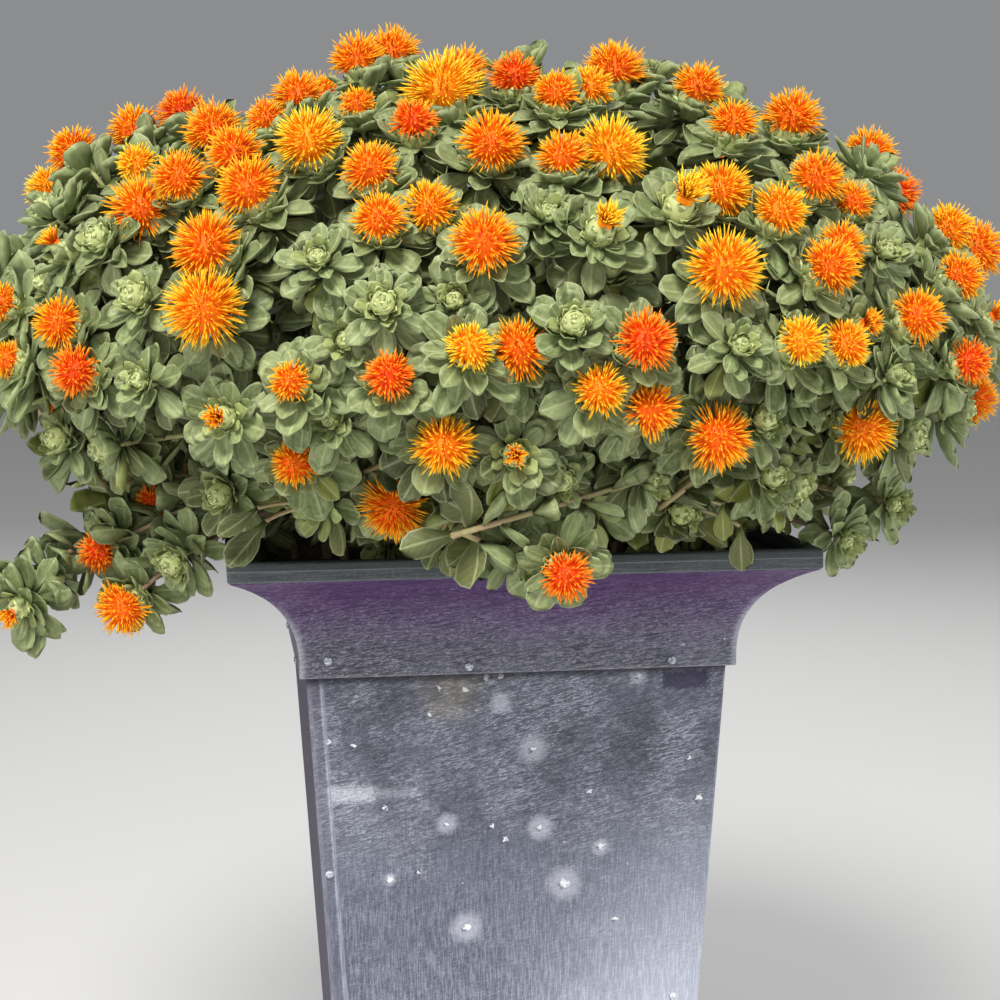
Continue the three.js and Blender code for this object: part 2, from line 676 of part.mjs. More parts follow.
// The twig below a head: the ladder says whether the next face takes a step on the head or on the ring
const TWIG_LADDER = 'HRHHRHHR';
function addTwig(points, faces, rings) {
  const first = points.push(...rings.flat()) - rings.length * 3;
  let [side, corner] = [0, 0];
  for (const rung of TWIG_LADDER) {
    const [onHead, onRing] = [6 + side, first + corner];
    if (rung === 'H') {
      side = (side + 1) % HEAD_SIDES;
      faces.push([onRing, 6 + side, onHead]);
    } else {
      corner = (corner + 1) % 3;
      faces.push([onRing, first + corner, onHead]);
    }
  }
  for (let ring = 1; ring < rings.length; ring += 1) {
    const [high, low] = [first + (ring - 1) * 3, first + ring * 3];
    for (let edge = 0; edge < 3; edge += 1) {
      const next = (edge + 1) % 3;
      faces.push([low + edge, low + next, high + next], [low + edge, high + next, high + edge]);
    }
  }
  const last = points.length - 3;
  faces.push([last, last + 2, last + 1]);
}

const heads = placeHeads();
const stems = spreadStems(shareHeads(heads));
const stretches = listStretches(stems);

function addMesh(group, name, solid, colour, roughness, metalness) {
  const material = new THREE.MeshStandardMaterial({ color: colour, roughness, metalness });
  const mesh = new THREE.Mesh(geometryOf(solid), material);
  mesh.name = name;
  group.add(mesh);
}

// One stem with all its heads: the leading head carries on down to the foot, and the others join it
function makeStem(stem) {
  const [leading, ...others] = stem.twigs;
  const directions = stemDirections(stem);
  const stemRings = stem.bends.map((bend, index) => ringAt(bend, directions[index], STEM_RADIUS));
  let solid = solidOf(headSurface(leading.head, heads, stretches, stemRings));
  for (const twig of others) {
    const twigRing = ringAt(twig.start, twigDirections(twig), TWIG_RADIUS);
    solid = solid.add(solidOf(headSurface(twig.head, heads, stretches, [twigRing])));
  }
  return solid;
}

const group = new THREE.Group();
addMesh(group, 'planter_body', makeBody(), 0x9a9ca8, 0.55, 0.7);
addMesh(group, 'planter_collar', makeCollar(), 0x7d7488, 0.6, 0.6);
addMesh(group, 'rim_lip', makeLip(), 0x50565a, 0.6, 0.5);
addMesh(group, 'soil', makeSoil(stems), 0x2b1f18, 1, 0);
stems.forEach((stem, index) => {
  const name = `flowering_stem_${String(index + 1).padStart(2, '0')}`;
  addMesh(group, name, makeStem(stem), 0x7e8f6d, 0.8, 0);
});

export default group;
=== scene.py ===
"""Potted safflower: orange safflower in bloom in a square zinc planter with a coved collar."""

import math

import bpy
import numpy as np
from bpy.props import FloatProperty, FloatVectorProperty, IntProperty, PointerProperty
from mathutils import Color, Matrix, Vector


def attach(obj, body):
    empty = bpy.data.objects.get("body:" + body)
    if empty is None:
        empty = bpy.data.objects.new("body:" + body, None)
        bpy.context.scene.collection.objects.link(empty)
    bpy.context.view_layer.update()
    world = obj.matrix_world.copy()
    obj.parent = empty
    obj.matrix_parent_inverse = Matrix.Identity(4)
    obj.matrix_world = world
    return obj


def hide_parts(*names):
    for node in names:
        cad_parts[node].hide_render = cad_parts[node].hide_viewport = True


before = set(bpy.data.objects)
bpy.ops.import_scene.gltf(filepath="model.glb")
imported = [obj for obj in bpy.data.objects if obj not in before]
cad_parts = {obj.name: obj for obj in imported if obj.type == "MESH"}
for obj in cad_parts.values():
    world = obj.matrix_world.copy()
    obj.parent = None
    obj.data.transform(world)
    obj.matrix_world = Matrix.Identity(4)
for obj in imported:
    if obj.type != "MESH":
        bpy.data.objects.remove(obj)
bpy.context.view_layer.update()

bl_info = {
    "name": "Potted safflower",
    "version": (1, 0, 0),
    "blender": (4, 5, 0),
    "location": "View3D > Sidebar > Safflower",
    "description": "Builds a square zinc planter full of flowering safflower",
    "category": "Add Mesh",
}

MM = 0.001

# Planter, in millimetres. The roll is how much higher the finished lip is than the solid one
RIM_WIDTH = 310
PLANTER_HEIGHT = 480
LIP_HEIGHT = 8
LIP_THICKNESS = 7
LIP_ROLL = 2.5
COLLAR_HEIGHT = 65
COLLAR_FOOT_WIDTH = 236
COLLAR_BAND = 7
COVE_BEND = 15.5
BODY_TOP_WIDTH = 227
BODY_TAPER = 0.062
BODY_OVERLAP = 18
SHEET = 3
SEAM_WIDTH = 7
SEAM_RISE = 1
SOIL_BELOW_RIM = 15
CLEARANCE = 0.3
RIM_TOP = PLANTER_HEIGHT
LIP_BOTTOM = RIM_TOP - LIP_HEIGHT
COLLAR_FOOT = RIM_TOP - COLLAR_HEIGHT
SOIL_TOP = RIM_TOP - SOIL_BELOW_RIM
RIM_HALF = RIM_WIDTH / 2

# Mound of heads, in millimetres
MOUND_RADIUS = 288
MOUND_MIDDLE = 592
MOUND_RISE = 150
MOUND_DROP = 112
UNDERSIDE_EASE = 1.6
HEAD_LIFT = 0.3
STEM_COUNT = 54
STEM_RADIUS = 4
STEM_SHARES = (0, 0.36, 0.68, 1)
STEM_ARCH = 30
ROOT_DEPTH = 12
NECK_HEIGHT = 4
AIM_HEIGHT = 50
HOLE_REACH = 112
HOLE_CORNER_REACH = 145
HOLE_LIMIT = 116
FORK_DEPTH = 62
FORK_SPACING = 9
FORK_SHARE = 0.85
LOWEST_FORK = 14
TWIG_RADIUS = 1.3
TWIG_LEAN = 1.2
CORE_RADIUS = 6
SMALLEST_TUFT = 7
LEAF_PAST_TUFT = 10
SHORTEST_BLOOM_LEAF = 28
SHORTEST_LEAF = 20
LEAF_OVERREACH = 1.12
SLOPE_LENGTH = 346
LEAST_ROUND = 60
SPREAD_ROUNDS = 150
STEM_MARGIN = 1.3
PUSH_SHARE = 0.6
LOW_FORK_SHARE = 0.4
CLOSEST_ROUNDS = 10

# The viewing point, and its picture of 1000 by 1000 pixels
EYE_DISTANCE = 1200
EYE_ABOVE_RIM = 147.7
EYE_TURN = math.radians(7.72)
EYE_DROP = math.radians(6.32)
EYE_ROLL = math.radians(0.38)
FOCAL_PIXELS = 2059
MIDDLE_COLUMN = 490.4
MIDDLE_ROW = 500
PICTURE_WIDTH = 1000
SENSOR_WIDTH = 36
WALK_START = 1.2
WALK_BEYOND = 100
WALK_STEP = 2

# Blooms: column, row and tuft radius in that picture, and hue from 0 for red to 1 for yellow
RED, ORANGE, GOLD, YELLOW = 0.08, 0.42, 0.68, 0.95
SEEN_BLOOMS = (
    (358, 62, 26, ORANGE), (393, 55, 25, ORANGE), (462, 72, 24, ORANGE), (443, 93, 38, YELLOW),
    (414, 123, 23, RED), (515, 80, 25, RED), (556, 95, 22, ORANGE), (590, 90, 22, GOLD),
    (614, 73, 30, ORANGE), (698, 90, 25, ORANGE), (733, 125, 24, ORANGE), (792, 120, 28, ORANGE),
    (816, 180, 27, ORANGE), (851, 203, 20, ORANGE), (136, 132, 25, ORANGE), (75, 153, 25, ORANGE),
    (183, 115, 25, RED), (214, 132, 28, ORANGE), (267, 120, 20, ORANGE), (298, 98, 25, ORANGE),
    (358, 106, 18, ORANGE), (310, 143, 33, YELLOW), (371, 171, 28, ORANGE), (492, 145, 32, ORANGE),
    (563, 158, 25, ORANGE), (610, 155, 35, YELLOW), (50, 190, 22, YELLOW), (138, 165, 20, YELLOW),
    (180, 180, 27, ORANGE), (235, 155, 27, ORANGE), (250, 190, 32, ORANGE), (143, 211, 33, ORANGE),
    (208, 248, 34, ORANGE), (205, 310, 38, GOLD), (380, 220, 26, ORANGE), (430, 210, 28, GOLD),
    (484, 243, 33, ORANGE), (604, 225, 20, YELLOW), (684, 200, 24, YELLOW), (720, 193, 30, GOLD),
    (779, 213, 27, GOLD), (724, 270, 37, GOLD), (829, 268, 28, ORANGE), (840, 247, 24, ORANGE),
    (947, 230, 24, GOLD), (957, 278, 24, ORANGE), (917, 318, 27, ORANGE), (968, 362, 22, RED),
    (990, 318, 15, ORANGE), (800, 342, 25, YELLOW), (845, 345, 24, GOLD), (862, 325, 17, ORANGE),
    (645, 342, 30, RED), (470, 348, 24, YELLOW), (519, 350, 30, ORANGE), (390, 376, 24, RED),
    (291, 382, 20, ORANGE), (295, 463, 22, ORANGE), (444, 445, 30, GOLD), (394, 505, 32, ORANGE),
    (600, 390, 25, GOLD), (649, 410, 28, ORANGE), (718, 437, 32, ORANGE), (862, 427, 32, GOLD),
    (77, 372, 24, RED), (60, 323, 25, ORANGE), (8, 360, 18, ORANGE), (3, 303, 18, ORANGE),
    (58, 245, 15, ORANGE), (127, 478, 9, ORANGE), (516, 455, 10, ORANGE), (219, 417, 8, ORANGE),
)

# The heads among them, and among those that trail, that are half open: column and row
HALF_OPEN = ((604, 225), (684, 200), (127, 478), (516, 455), (219, 417), (14, 612))

# Leaf rosettes: column, row and radius in the picture
SEEN_ROSETTES = (
    (137, 298, 45), (318, 258, 45), (383, 305, 42), (573, 325, 45), (740, 345, 42), (548, 213, 34),
    (506, 188, 28), (50, 283, 30), (270, 425, 46), (455, 508, 40), (762, 420, 34), (805, 390, 30),
    (140, 380, 40), (60, 440, 44), (885, 250, 34), (895, 375, 34), (455, 300, 34), (655, 70, 30),
    (220, 440, 36), (610, 270, 44), (100, 240, 30), (330, 420, 36), (540, 420, 36), (650, 480, 36),
    (560, 480, 36), (345, 340, 36),
)

# Sprigs of larger leaves at the foot of the mound: column, row and leaf reach in the picture
SEEN_SPRIGS = (
    (245, 520, 44), (320, 510, 44), (500, 545, 44), (590, 515, 44), (650, 535, 42), (725, 520, 46),
    (790, 500, 44), (380, 545, 38),
)

# Heads that trail over the rim: kind, column, row, radius in the picture, distance and hue
TRAILING_HEADS = (
    ("bloom", 566, 575, 25, 965, RED), ("rosette", 527, 560, 36, 975, 0),
    ("bloom", 124, 607, 26, 1105, ORANGE), ("bloom", 100, 551, 20, 1120, RED),
    ("bloom", 153, 502, 17, 1130, RED), ("bloom", 14, 612, 8, 1110, ORANGE),
    ("rosette", 175, 560, 44, 1085, 0), ("rosette", 40, 585, 36, 1115, 0),
    ("rosette", 185, 515, 36, 1120, 0), ("rosette", 845, 540, 40, 1120, 0),
    ("rosette", 893, 505, 34, 1140, 0),
)

# Heads that the rule adds, and how far apart heads stay
SPIRAL_POINTS = 900
SPIRAL_SLOPE = 0.8
GOLDEN_TURN = 2.399963
FRONT_SPACING = 47
BACK_SPACING = 63
TIGHTEST_SPACING = 27
PUSH_BACK = 4
LAST_PUSH = 14
BACK_BLOOM_SHARE = 0.42
BACK_BLOOM_RADIUS = 15
BACK_ROSETTE_REACH = 38
BACK_LEAF_REACH = 40
FACED = 0.1

UP = np.array((0.0, 0.0, 1.0))
LAYOUT_SEED = 20719
LAST_SEED = 2147483647
SEED_FACTOR = 16807


class Draws:
    """Repeatable random numbers from 0 to 1."""

    def __init__(self, seed):
        self.seed = seed

    def __call__(self):
        self.seed = self.seed * SEED_FACTOR % LAST_SEED
        return self.seed / LAST_SEED


class Head:
    """A bloom, rosette or sprig on the mound."""

    def __init__(self, kind, at, reach, turn, seen, hue):
        self.kind, self.at, self.reach, self.turn, self.seen, self.hue = kind, at, reach, turn, seen, hue
        self.half_open = self.trails = False
        self.axis = head_axis(at)


def unit(vector):
    return vector / np.linalg.norm(vector)


def camera_axes():
    """The eye and its forward, right and upward directions."""
    eye = np.array((
        -EYE_DISTANCE * math.sin(EYE_TURN), -EYE_DISTANCE * math.cos(EYE_TURN), RIM_TOP + EYE_ABOVE_RIM,
    ))
    forward = np.array((
        math.sin(EYE_TURN) * math.cos(EYE_DROP), math.cos(EYE_TURN) * math.cos(EYE_DROP), -math.sin(EYE_DROP),
    ))
    level = unit(np.cross(forward, UP))
    right = level * math.cos(EYE_ROLL) + np.cross(forward, level) * math.sin(EYE_ROLL)
    return eye, forward, right, np.cross(right, forward)


EYE, FORWARD, RIGHT, ABOVE = camera_axes()


def sight_line(column, row):
    """The direction from the eye through a point of the picture."""
    across = (column - MIDDLE_COLUMN) / FOCAL_PIXELS
    upward = (MIDDLE_ROW - row) / FOCAL_PIXELS
    return unit(FORWARD + RIGHT * across + ABOVE * upward)


def head_axis(point):
    """Heads face outward from the mound, and a little upward."""
    height = point[2] - MOUND_MIDDLE
    tall = MOUND_RISE if height > 0 else MOUND_DROP * UNDERSIDE_EASE
    outward = np.array((point[0] / MOUND_RADIUS**2, point[1] / MOUND_RADIUS**2, height / tall**2))
    return unit(unit(outward) + UP * HEAD_LIFT)


def meet_mound(direction):
    """How far a sight line goes until it meets the mound, or passes it most closely."""
    steps = np.arange(
        EYE_DISTANCE - WALK_START * MOUND_RADIUS, EYE_DISTANCE + WALK_BEYOND, WALK_STEP
    )
    points = EYE + direction * steps[:, None]
    height = points[:, 2] - MOUND_MIDDLE
    tall = np.where(height > 0, MOUND_RISE, MOUND_DROP)
    depth = np.sqrt(
        (points[:, 0] / MOUND_RADIUS) ** 2 + (points[:, 1] / MOUND_RADIUS) ** 2 + (height / tall) ** 2
    ) - 1
    inside = np.nonzero(depth <= 0)[0]
    return steps[inside[0]] if len(inside) else steps[depth.argmin()]


def distance_to_heads(point, heads):
    return min((np.linalg.norm(head.at - point) for head in heads), default=math.inf)


def add_seen_head(heads, draw, kind, column, row, radius, distance, hue):
    direction = sight_line(column, row)
    at = EYE + direction * (distance or meet_mound(direction))
    for _ in range(LAST_PUSH):
        if distance_to_heads(at, heads) > TIGHTEST_SPACING:
            break
        at = at + direction * PUSH_BACK
    reach = radius * np.linalg.norm(at - EYE) / FOCAL_PIXELS
    head = Head(kind, at, reach, draw() * 2 * math.pi, True, hue)
    head.half_open, head.trails = (column, row) in HALF_OPEN, distance is not None
    heads.append(head)


def add_rule_heads(heads, draw):
    """Heads between the seen ones and round the back, along a spiral over the mound."""
    for index in range(SPIRAL_POINTS):
        share = (index + 0.5) / SPIRAL_POINTS
        slope = math.pi * SPIRAL_SLOPE * math.sqrt(share)
        turn = index * GOLDEN_TURN
        tall = MOUND_RISE if slope < math.pi / 2 else MOUND_DROP
        at = np.array((
            MOUND_RADIUS * math.sin(slope) * math.cos(turn),
            MOUND_RADIUS * math.sin(slope) * math.sin(turn),
            MOUND_MIDDLE + tall * math.cos(slope),
        ))
        faced = head_axis(at) @ unit(EYE - at) > FACED
        kind_draw = draw()
        roll = draw() * 2 * math.pi
        if distance_to_heads(at, heads) < (FRONT_SPACING if faced else BACK_SPACING):
            continue
        kind = "bloom" if not faced and kind_draw < BACK_BLOOM_SHARE else "rosette"
        reach = BACK_BLOOM_RADIUS if kind == "bloom" else BACK_ROSETTE_REACH
        hue = (RED, ORANGE, ORANGE, GOLD)[index % 4]
        heads.append(Head(kind, at, reach, roll, False, hue))


def place_heads():
    heads = []
    draw = Draws(LAYOUT_SEED)
    for kind, column, row, radius, distance, hue in TRAILING_HEADS:
        add_seen_head(heads, draw, kind, column, row, radius, distance, hue)
    for column, row, radius, hue in SEEN_BLOOMS:
        add_seen_head(heads, draw, "bloom", column, row, radius, None, hue)
    for column, row, radius in SEEN_ROSETTES:
        add_seen_head(heads, draw, "rosette", column, row, radius, None, 0)
    for column, row, radius in SEEN_SPRIGS:
        add_seen_head(heads, draw, "sprig", column, row, radius, None, 0)
    add_rule_heads(heads, draw)
    return heads


def spread_of(head):
    """Where a head lies round the mound and down its side, as lengths along the surface."""
    x, y, z = head.at
    out = math.hypot(x, y)
    return math.atan2(y, x) * max(LEAST_ROUND, out), math.atan2(out, z - SOIL_TOP) * SLOPE_LENGTH


def span_of(heads):
    """The wider way of a set of heads, 0 for round or 1 for down, and its width."""
    places = np.array([spread_of(head) for head in heads])
    round_width, down_width = np.ptp(places, axis=0)
    return (0, round_width) if round_width > down_width else (1, down_width)


def share_heads(heads):
    """Halves the largest set of heads across its wider way until there is one set for each stem."""
    sets = [heads]
    while len(sets) < STEM_COUNT:
        sets.sort(key=lambda members: (-len(members), -span_of(members)[1]))
        largest = sets.pop(0)
        way, _ = span_of(largest)
        ordered = sorted(largest, key=lambda head: spread_of(head)[way])
        half = len(ordered) // 2
        sets += [ordered[:half], ordered[half:]]
    return sets


def bezier(start, middle, end, share):
    return start * (1 - share) ** 2 + middle * 2 * share * (1 - share) + end * share**2


class Stem:
    """A root in the soil, a fork inside the mound and a twig to each of its heads."""

    def __init__(self, heads, root_shift, fork_shift):
        middle = sum(head.at for head in heads) / len(heads)
        turn = math.atan2(middle[1], middle[0])
        slope = math.atan2(math.hypot(middle[0], middle[1]), middle[2] - SOIL_TOP) / (math.pi / 2)
        square = max(abs(math.cos(turn)), abs(math.sin(turn)))
        out = slope * min(HOLE_CORNER_REACH, HOLE_REACH / square)
        root = np.array((out * math.cos(turn), out * math.sin(turn), SOIL_TOP)) + root_shift
        root[:2] = root[:2].clip(-HOLE_LIMIT, HOLE_LIMIT)
        aim = root + UP * AIM_HEIGHT
        fork = middle + unit(aim - middle) * FORK_DEPTH + fork_shift
        fork[2] = max(fork[2], RIM_TOP + LOWEST_FORK)
        self.root, self.fork, self.neck = root, fork, root + UP * NECK_HEIGHT
        self.bend = root + UP * ((fork[2] - SOIL_TOP) / 2 + STEM_ARCH)
        self.bends = [bezier(fork, self.bend, self.neck, share) for share in STEM_SHARES]
        self.bends.append(root - UP * ROOT_DEPTH)
        back = self.bends[1] - fork
        spacing = min(FORK_SPACING, np.linalg.norm(back) * FORK_SHARE / len(heads))
        back = unit(back)
        ordered = sorted(heads, key=lambda head: unit(head.at - fork) @ back)
        self.twigs = [(head, fork + back * index * spacing) for index, head in enumerate(ordered)]
        for head, start in self.twigs:
            head.axis = unit(head_axis(head.at) + unit(head.at - start) * TWIG_LEAN)


def list_stretches(stems):
    """Every straight stretch of stem and twig: ends, radii at both ends, whether low, and its stem."""
    ends, radii, low, owners = [], [], [], []
    for index, stem in enumerate(stems):
        for level, (above, below) in enumerate(zip(stem.bends, stem.bends[1:])):
            ends.append((above, below))
            radii.append((STEM_RADIUS, STEM_RADIUS))
            low.append(level > 0)
            owners.append(index)
        for order, (head, start) in enumerate(stem.twigs):
            ends.append((start, head.at))
            radii.append((STEM_RADIUS if order == 0 else TWIG_RADIUS, CORE_RADIUS))
            low.append(False)
            owners.append(index)
    return np.array(ends), np.array(radii, float), np.array(low), np.array(owners)


def nearest_share(ends, places):
    """How far along each stretch the point lies that is nearest to its place."""
    way = ends[:, 1] - ends[:, 0]
    return (((places - ends[:, 0]) * way).sum(1) / (way * way).sum(1)).clip(0, 1)


def point_at(ends, share):
    return ends[:, 0] + (ends[:, 1] - ends[:, 0]) * share[:, None]


def spread_stems(sets):
    """Moves roots and forks apart, round by round, until every two stems pass clear of each other."""
    roots, forks = np.zeros((len(sets), 3)), np.zeros((len(sets), 3))
    stems = [Stem(*parts) for parts in zip(sets, roots, forks)]
    for _ in range(SPREAD_ROUNDS):
        ends, radii, low, owners = list_stretches(stems)
        middles = ends.mean(1)
        halves = np.linalg.norm(ends[:, 1] - ends[:, 0], axis=1) / 2
        one, two = np.triu_indices(len(ends), 1)
        reach = halves[one] + halves[two] + 2 * CORE_RADIUS
        near = np.linalg.norm(middles[one] - middles[two], axis=1) <= reach
        near &= owners[one] != owners[two]
        one, two = one[near], two[near]
        here = middles[one]
        for _ in range(CLOSEST_ROUNDS + 1):
            there_share = nearest_share(ends[two], here)
            there = point_at(ends[two], there_share)
            here_share = nearest_share(ends[one], there)
            here = point_at(ends[one], here_share)
        apart = np.linalg.norm(here - there, axis=1)
        thick = sum(
            radii[which, 0] + (radii[which, 1] - radii[which, 0]) * share
            for which, share in ((one, here_share), (two, there_share))
        )
        lack = thick + STEM_MARGIN - apart
        crossing = lack > 0
        if not crossing.any():
            break
        push = (here - there)[crossing] / apart[crossing, None] * (lack[crossing, None] * PUSH_SHARE)
        for which, way in ((one[crossing], push), (two[crossing], -push)):
            is_low = low[which, None]
            np.add.at(forks, owners[which], way * np.where(is_low, LOW_FORK_SHARE, 1))
            np.add.at(roots, owners[which], way * is_low * (1, 1, 0))
        stems = [Stem(*parts) for parts in zip(sets, roots, forks)]
    return stems


def head_frame(axis):
    """Two directions square to a head's axis and to each other."""
    reference = np.array((1.0, 0.0, 0.0)) if abs(axis[0]) < 0.8 else UP
    east = unit(np.cross(axis, reference))
    return east, np.cross(axis, east)


# Finer pieces. The UV map is a square of cells, in a row for each kind of surface, undersides one row up
STEMS_IN_PIECE = 9
UV_MAP = "OFBake"
CELLS = 8
CELL_MARGIN = 0.04
LEAF_ROW, YOUNG_ROW, OLD_ROW, STEM_ROW, BRACT_ROW = 0, 2, 4, 6, 7
LEAF_PART, STEM_PART, BRACT_PART = 0, 1, 2
COVE_STEPS = 18
GOLDEN_ANGLE = math.radians(137.5)


def colour(red, green, blue):
    """A colour as on a screen, from 0 to 255, as Blender's linear one."""
    values = [channel / 255 for channel in (red, green, blue)]
    return tuple(v / 12.92 if v <= 0.04045 else ((v + 0.055) / 1.055) ** 2.4 for v in values)


def colour_property(name, description, *rgb):
    return FloatVectorProperty(
        name=name, description=description, subtype="COLOR", size=3, min=0, max=1, default=colour(*rgb)
    )


def length_property(name, description, millimetres):
    return FloatProperty(
        name=name, description=description, unit="LENGTH", subtype="DISTANCE", min=0,
        default=millimetres * MM, precision=4,
    )


class PlanterSettings(bpy.types.PropertyGroup):
    """Sizes and colours of the zinc planter"""

    edge_radius: length_property("Folded edge", "Radius of the planter's folded edges", 1.6)
    lip_rounding: length_property("Lip rounding", "Radius of the edges of the rim", 1.4)
    rivet_radius: length_property("Rivet radius", "Radius of a rivet's head", 2.3)
    dent_depth: length_property("Dents", "How deep the dents in the sheet are", 0.35)
    crumb_height: length_property("Crumbs", "How high the soil's crumbs stand", 3.0)
    # Light zinc is also the colour of the painted reflection at the body's lower right
    zinc_light: colour_property("Light zinc", "Zinc where it is rubbed bright", 206, 212, 230)
    zinc_middle: colour_property("Zinc", "Zinc over most of the body", 80, 83, 98)
    zinc_dark: colour_property("Dark zinc", "Zinc where it has weathered dark", 56, 58, 72)
    zinc_violet: colour_property("Violet zinc", "The violet cast of the collar and sides", 68, 36, 88)
    lip_colour: colour_property("Rim", "The rim's dull dark strip", 84, 90, 96)
    soil_colour: colour_property("Soil", "Damp potting soil", 50, 36, 26)


class PlantSettings(bpy.types.PropertyGroup):
    """Sizes and colours of the safflower"""

    stem_radius: length_property("Stem radius", "Radius of a stem at the soil", 2.5)
    twig_radius: length_property("Twig radius", "Radius of the twig under a head", 1.3)
    floret_radius: length_property("Floret radius", "Radius of a floret's thread", 0.44)
    florets: IntProperty(name="Florets", description="Threads in an open tuft", default=290, min=20, max=400)
    bracts: IntProperty(name="Bracts", description="Bracts round a head's ball", default=16, min=5, max=60)
    leaf_width: FloatProperty(
        name="Leaf width", description="Width of a leaf as a share of its length", default=0.52, min=0.1,
        max=1,
    )
    sage: colour_property("Sage", "Most of the leaves", 142, 155, 104)
    sage_deep: colour_property("Deep sage", "The darker leaves", 96, 112, 62)
    old_leaf: colour_property("Old leaf", "The low, large leaves", 94, 96, 38)
    # Vein is also the colour of the leaves' pale edges, partly a painted rim light
    vein: colour_property("Vein", "Midribs and edges", 198, 206, 158)
    ball: colour_property("Ball", "The pale ball of bracts", 214, 218, 152)
    bract_tip: colour_property("Bract tip", "The dark tip of a bract", 96, 118, 54)
    stem_green: colour_property("Stem", "Stems near the heads", 168, 172, 112)
    stem_brown: colour_property("Old stem", "Stems low in the mound", 158, 116, 104)
    floret_red: colour_property("Red floret", "Florets of a red tuft", 250, 92, 6)
    floret_orange: colour_property("Orange floret", "Florets of an orange tuft", 255, 142, 2)
    floret_yellow: colour_property("Yellow floret", "Florets of a yellow tuft", 255, 178, 8)


# Modelling by hand

def deselect():
    if bpy.context.mode != "OBJECT":
        bpy.ops.object.mode_set(mode="OBJECT")
    bpy.ops.object.select_all(action="DESELECT")


def make_active(*objects):
    deselect()
    for obj in objects:
        obj.select_set(True)
    bpy.context.view_layer.objects.active = objects[0]


def pick(obj, kind, test):
    """Opens edit mode with the vertices, edges or faces selected whose middle passes the test."""
    make_active(obj)
    mesh = obj.data
    for parts in (mesh.vertices, mesh.edges, mesh.polygons):
        parts.foreach_set("select", np.zeros(len(parts), bool))
    if kind == "FACE":
        for face in mesh.polygons:
            face.select = bool(test(face.center, face.normal))
    elif kind == "EDGE":
        for edge in mesh.edges:
            one, two = (mesh.vertices[index].co for index in edge.vertices)
            edge.select = bool(test((one + two) / 2, (two - one).normalized()))
    else:
        for vertex in mesh.vertices:
            vertex.select = bool(test(vertex.co, vertex.normal))
    bpy.context.tool_settings.mesh_select_mode = [kind == name for name in ("VERT", "EDGE", "FACE")]
    bpy.ops.object.mode_set(mode="EDIT")


def finish_edit():
    bpy.ops.object.mode_set(mode="OBJECT")


def everything(*_):
    """A test that every face passes."""
    return True


def outward(obj):
    """Merges doubled points and turns every face outwards."""
    pick(obj, "FACE", everything)
    bpy.ops.mesh.remove_doubles(threshold=1e-6)
    bpy.ops.mesh.normals_make_consistent(inside=False)
    finish_edit()


def points_of(obj):
    co = np.empty(len(obj.data.vertices) * 3)
    obj.data.vertices.foreach_get("co", co)
    return co.reshape(-1, 3)


def set_points(obj, points):
    obj.data.vertices.foreach_set("co", np.asarray(points, float).ravel())
    obj.data.update()


def apply_modifier(obj, kind, **settings):
    make_active(obj)
    modifier = obj.modifiers.new(kind, kind)
    for name, value in settings.items():
        setattr(modifier, name, value)
    bpy.ops.object.modifier_apply(modifier=modifier.name)


def place(obj, name, slot, finish, nodes=()):
    """Names a finished piece, puts its place into its mesh, rides it on the root and hides the nodes it
    replaces.
    """
    make_active(obj)
    bpy.ops.object.transform_apply(location=True, rotation=True, scale=True)
    obj.name = obj.data.name = name
    if finish:
        obj.data.materials.clear()
        obj.data.materials.append(finish)
    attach(obj, "root")
    if nodes:
        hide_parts(*nodes)
    return obj


def smooth_by_angle(obj, degrees):
    make_active(obj)
    bpy.ops.object.shade_smooth_by_angle(angle=math.radians(degrees))


def join(*objects):
    make_active(*objects)
    bpy.ops.object.join()
    return objects[0]


def swing(points, waves):
    """Slow swings over a surface, from -1 to 1, out of a few waves in different directions."""
    total = np.zeros(len(points))
    for index, (x, y, z) in enumerate(waves):
        total += np.sin(points @ np.array((x, y, z)) / MM + 1.7 * index)
    return total / len(waves)


# Finishes

def shader_operator(operation, reflected=False):
    """A method of a Wire that adds a Math node."""
    def method(wire, *others):
        values = (*others, wire) if reflected else (wire, *others)
        return wire.finish.math(operation, *values)
    return method


class Wire:
    """A value in a shader. An expression on it adds Math nodes."""

    def __init__(self, finish, socket):
        self.finish, self.socket = finish, socket

    __add__ = __radd__ = shader_operator("ADD")
    __sub__ = shader_operator("SUBTRACT")
    __rsub__ = shader_operator("SUBTRACT", reflected=True)
    __mul__ = __rmul__ = shader_operator("MULTIPLY")
    __truediv__ = shader_operator("DIVIDE")
    __pow__ = shader_operator("POWER")
    __abs__ = shader_operator("ABSOLUTE")
    least = shader_operator("MINIMUM")
    most = shader_operator("MAXIMUM")
    fraction = shader_operator("FRACT")
    remainder = shader_operator("MODULO")
    over = shader_operator("GREATER_THAN")
    root = shader_operator("SQRT")

    def held(self):
        """The value kept between 0 and 1."""
        return self.finish.math("ADD", self, 0.0, clamp=True)

    def rise(self, low, high):
        """0 up to low, 1 from high on, and smooth between."""
        return self.finish.node(
            "ShaderNodeMapRange", {"Value": self, "From Min": low, "From Max": high},
            interpolation_type="SMOOTHSTEP",
        )

    def fall(self, low, high):
        """1 up to low, 0 from high on, and smooth between."""
        return 1 - self.rise(low, high)


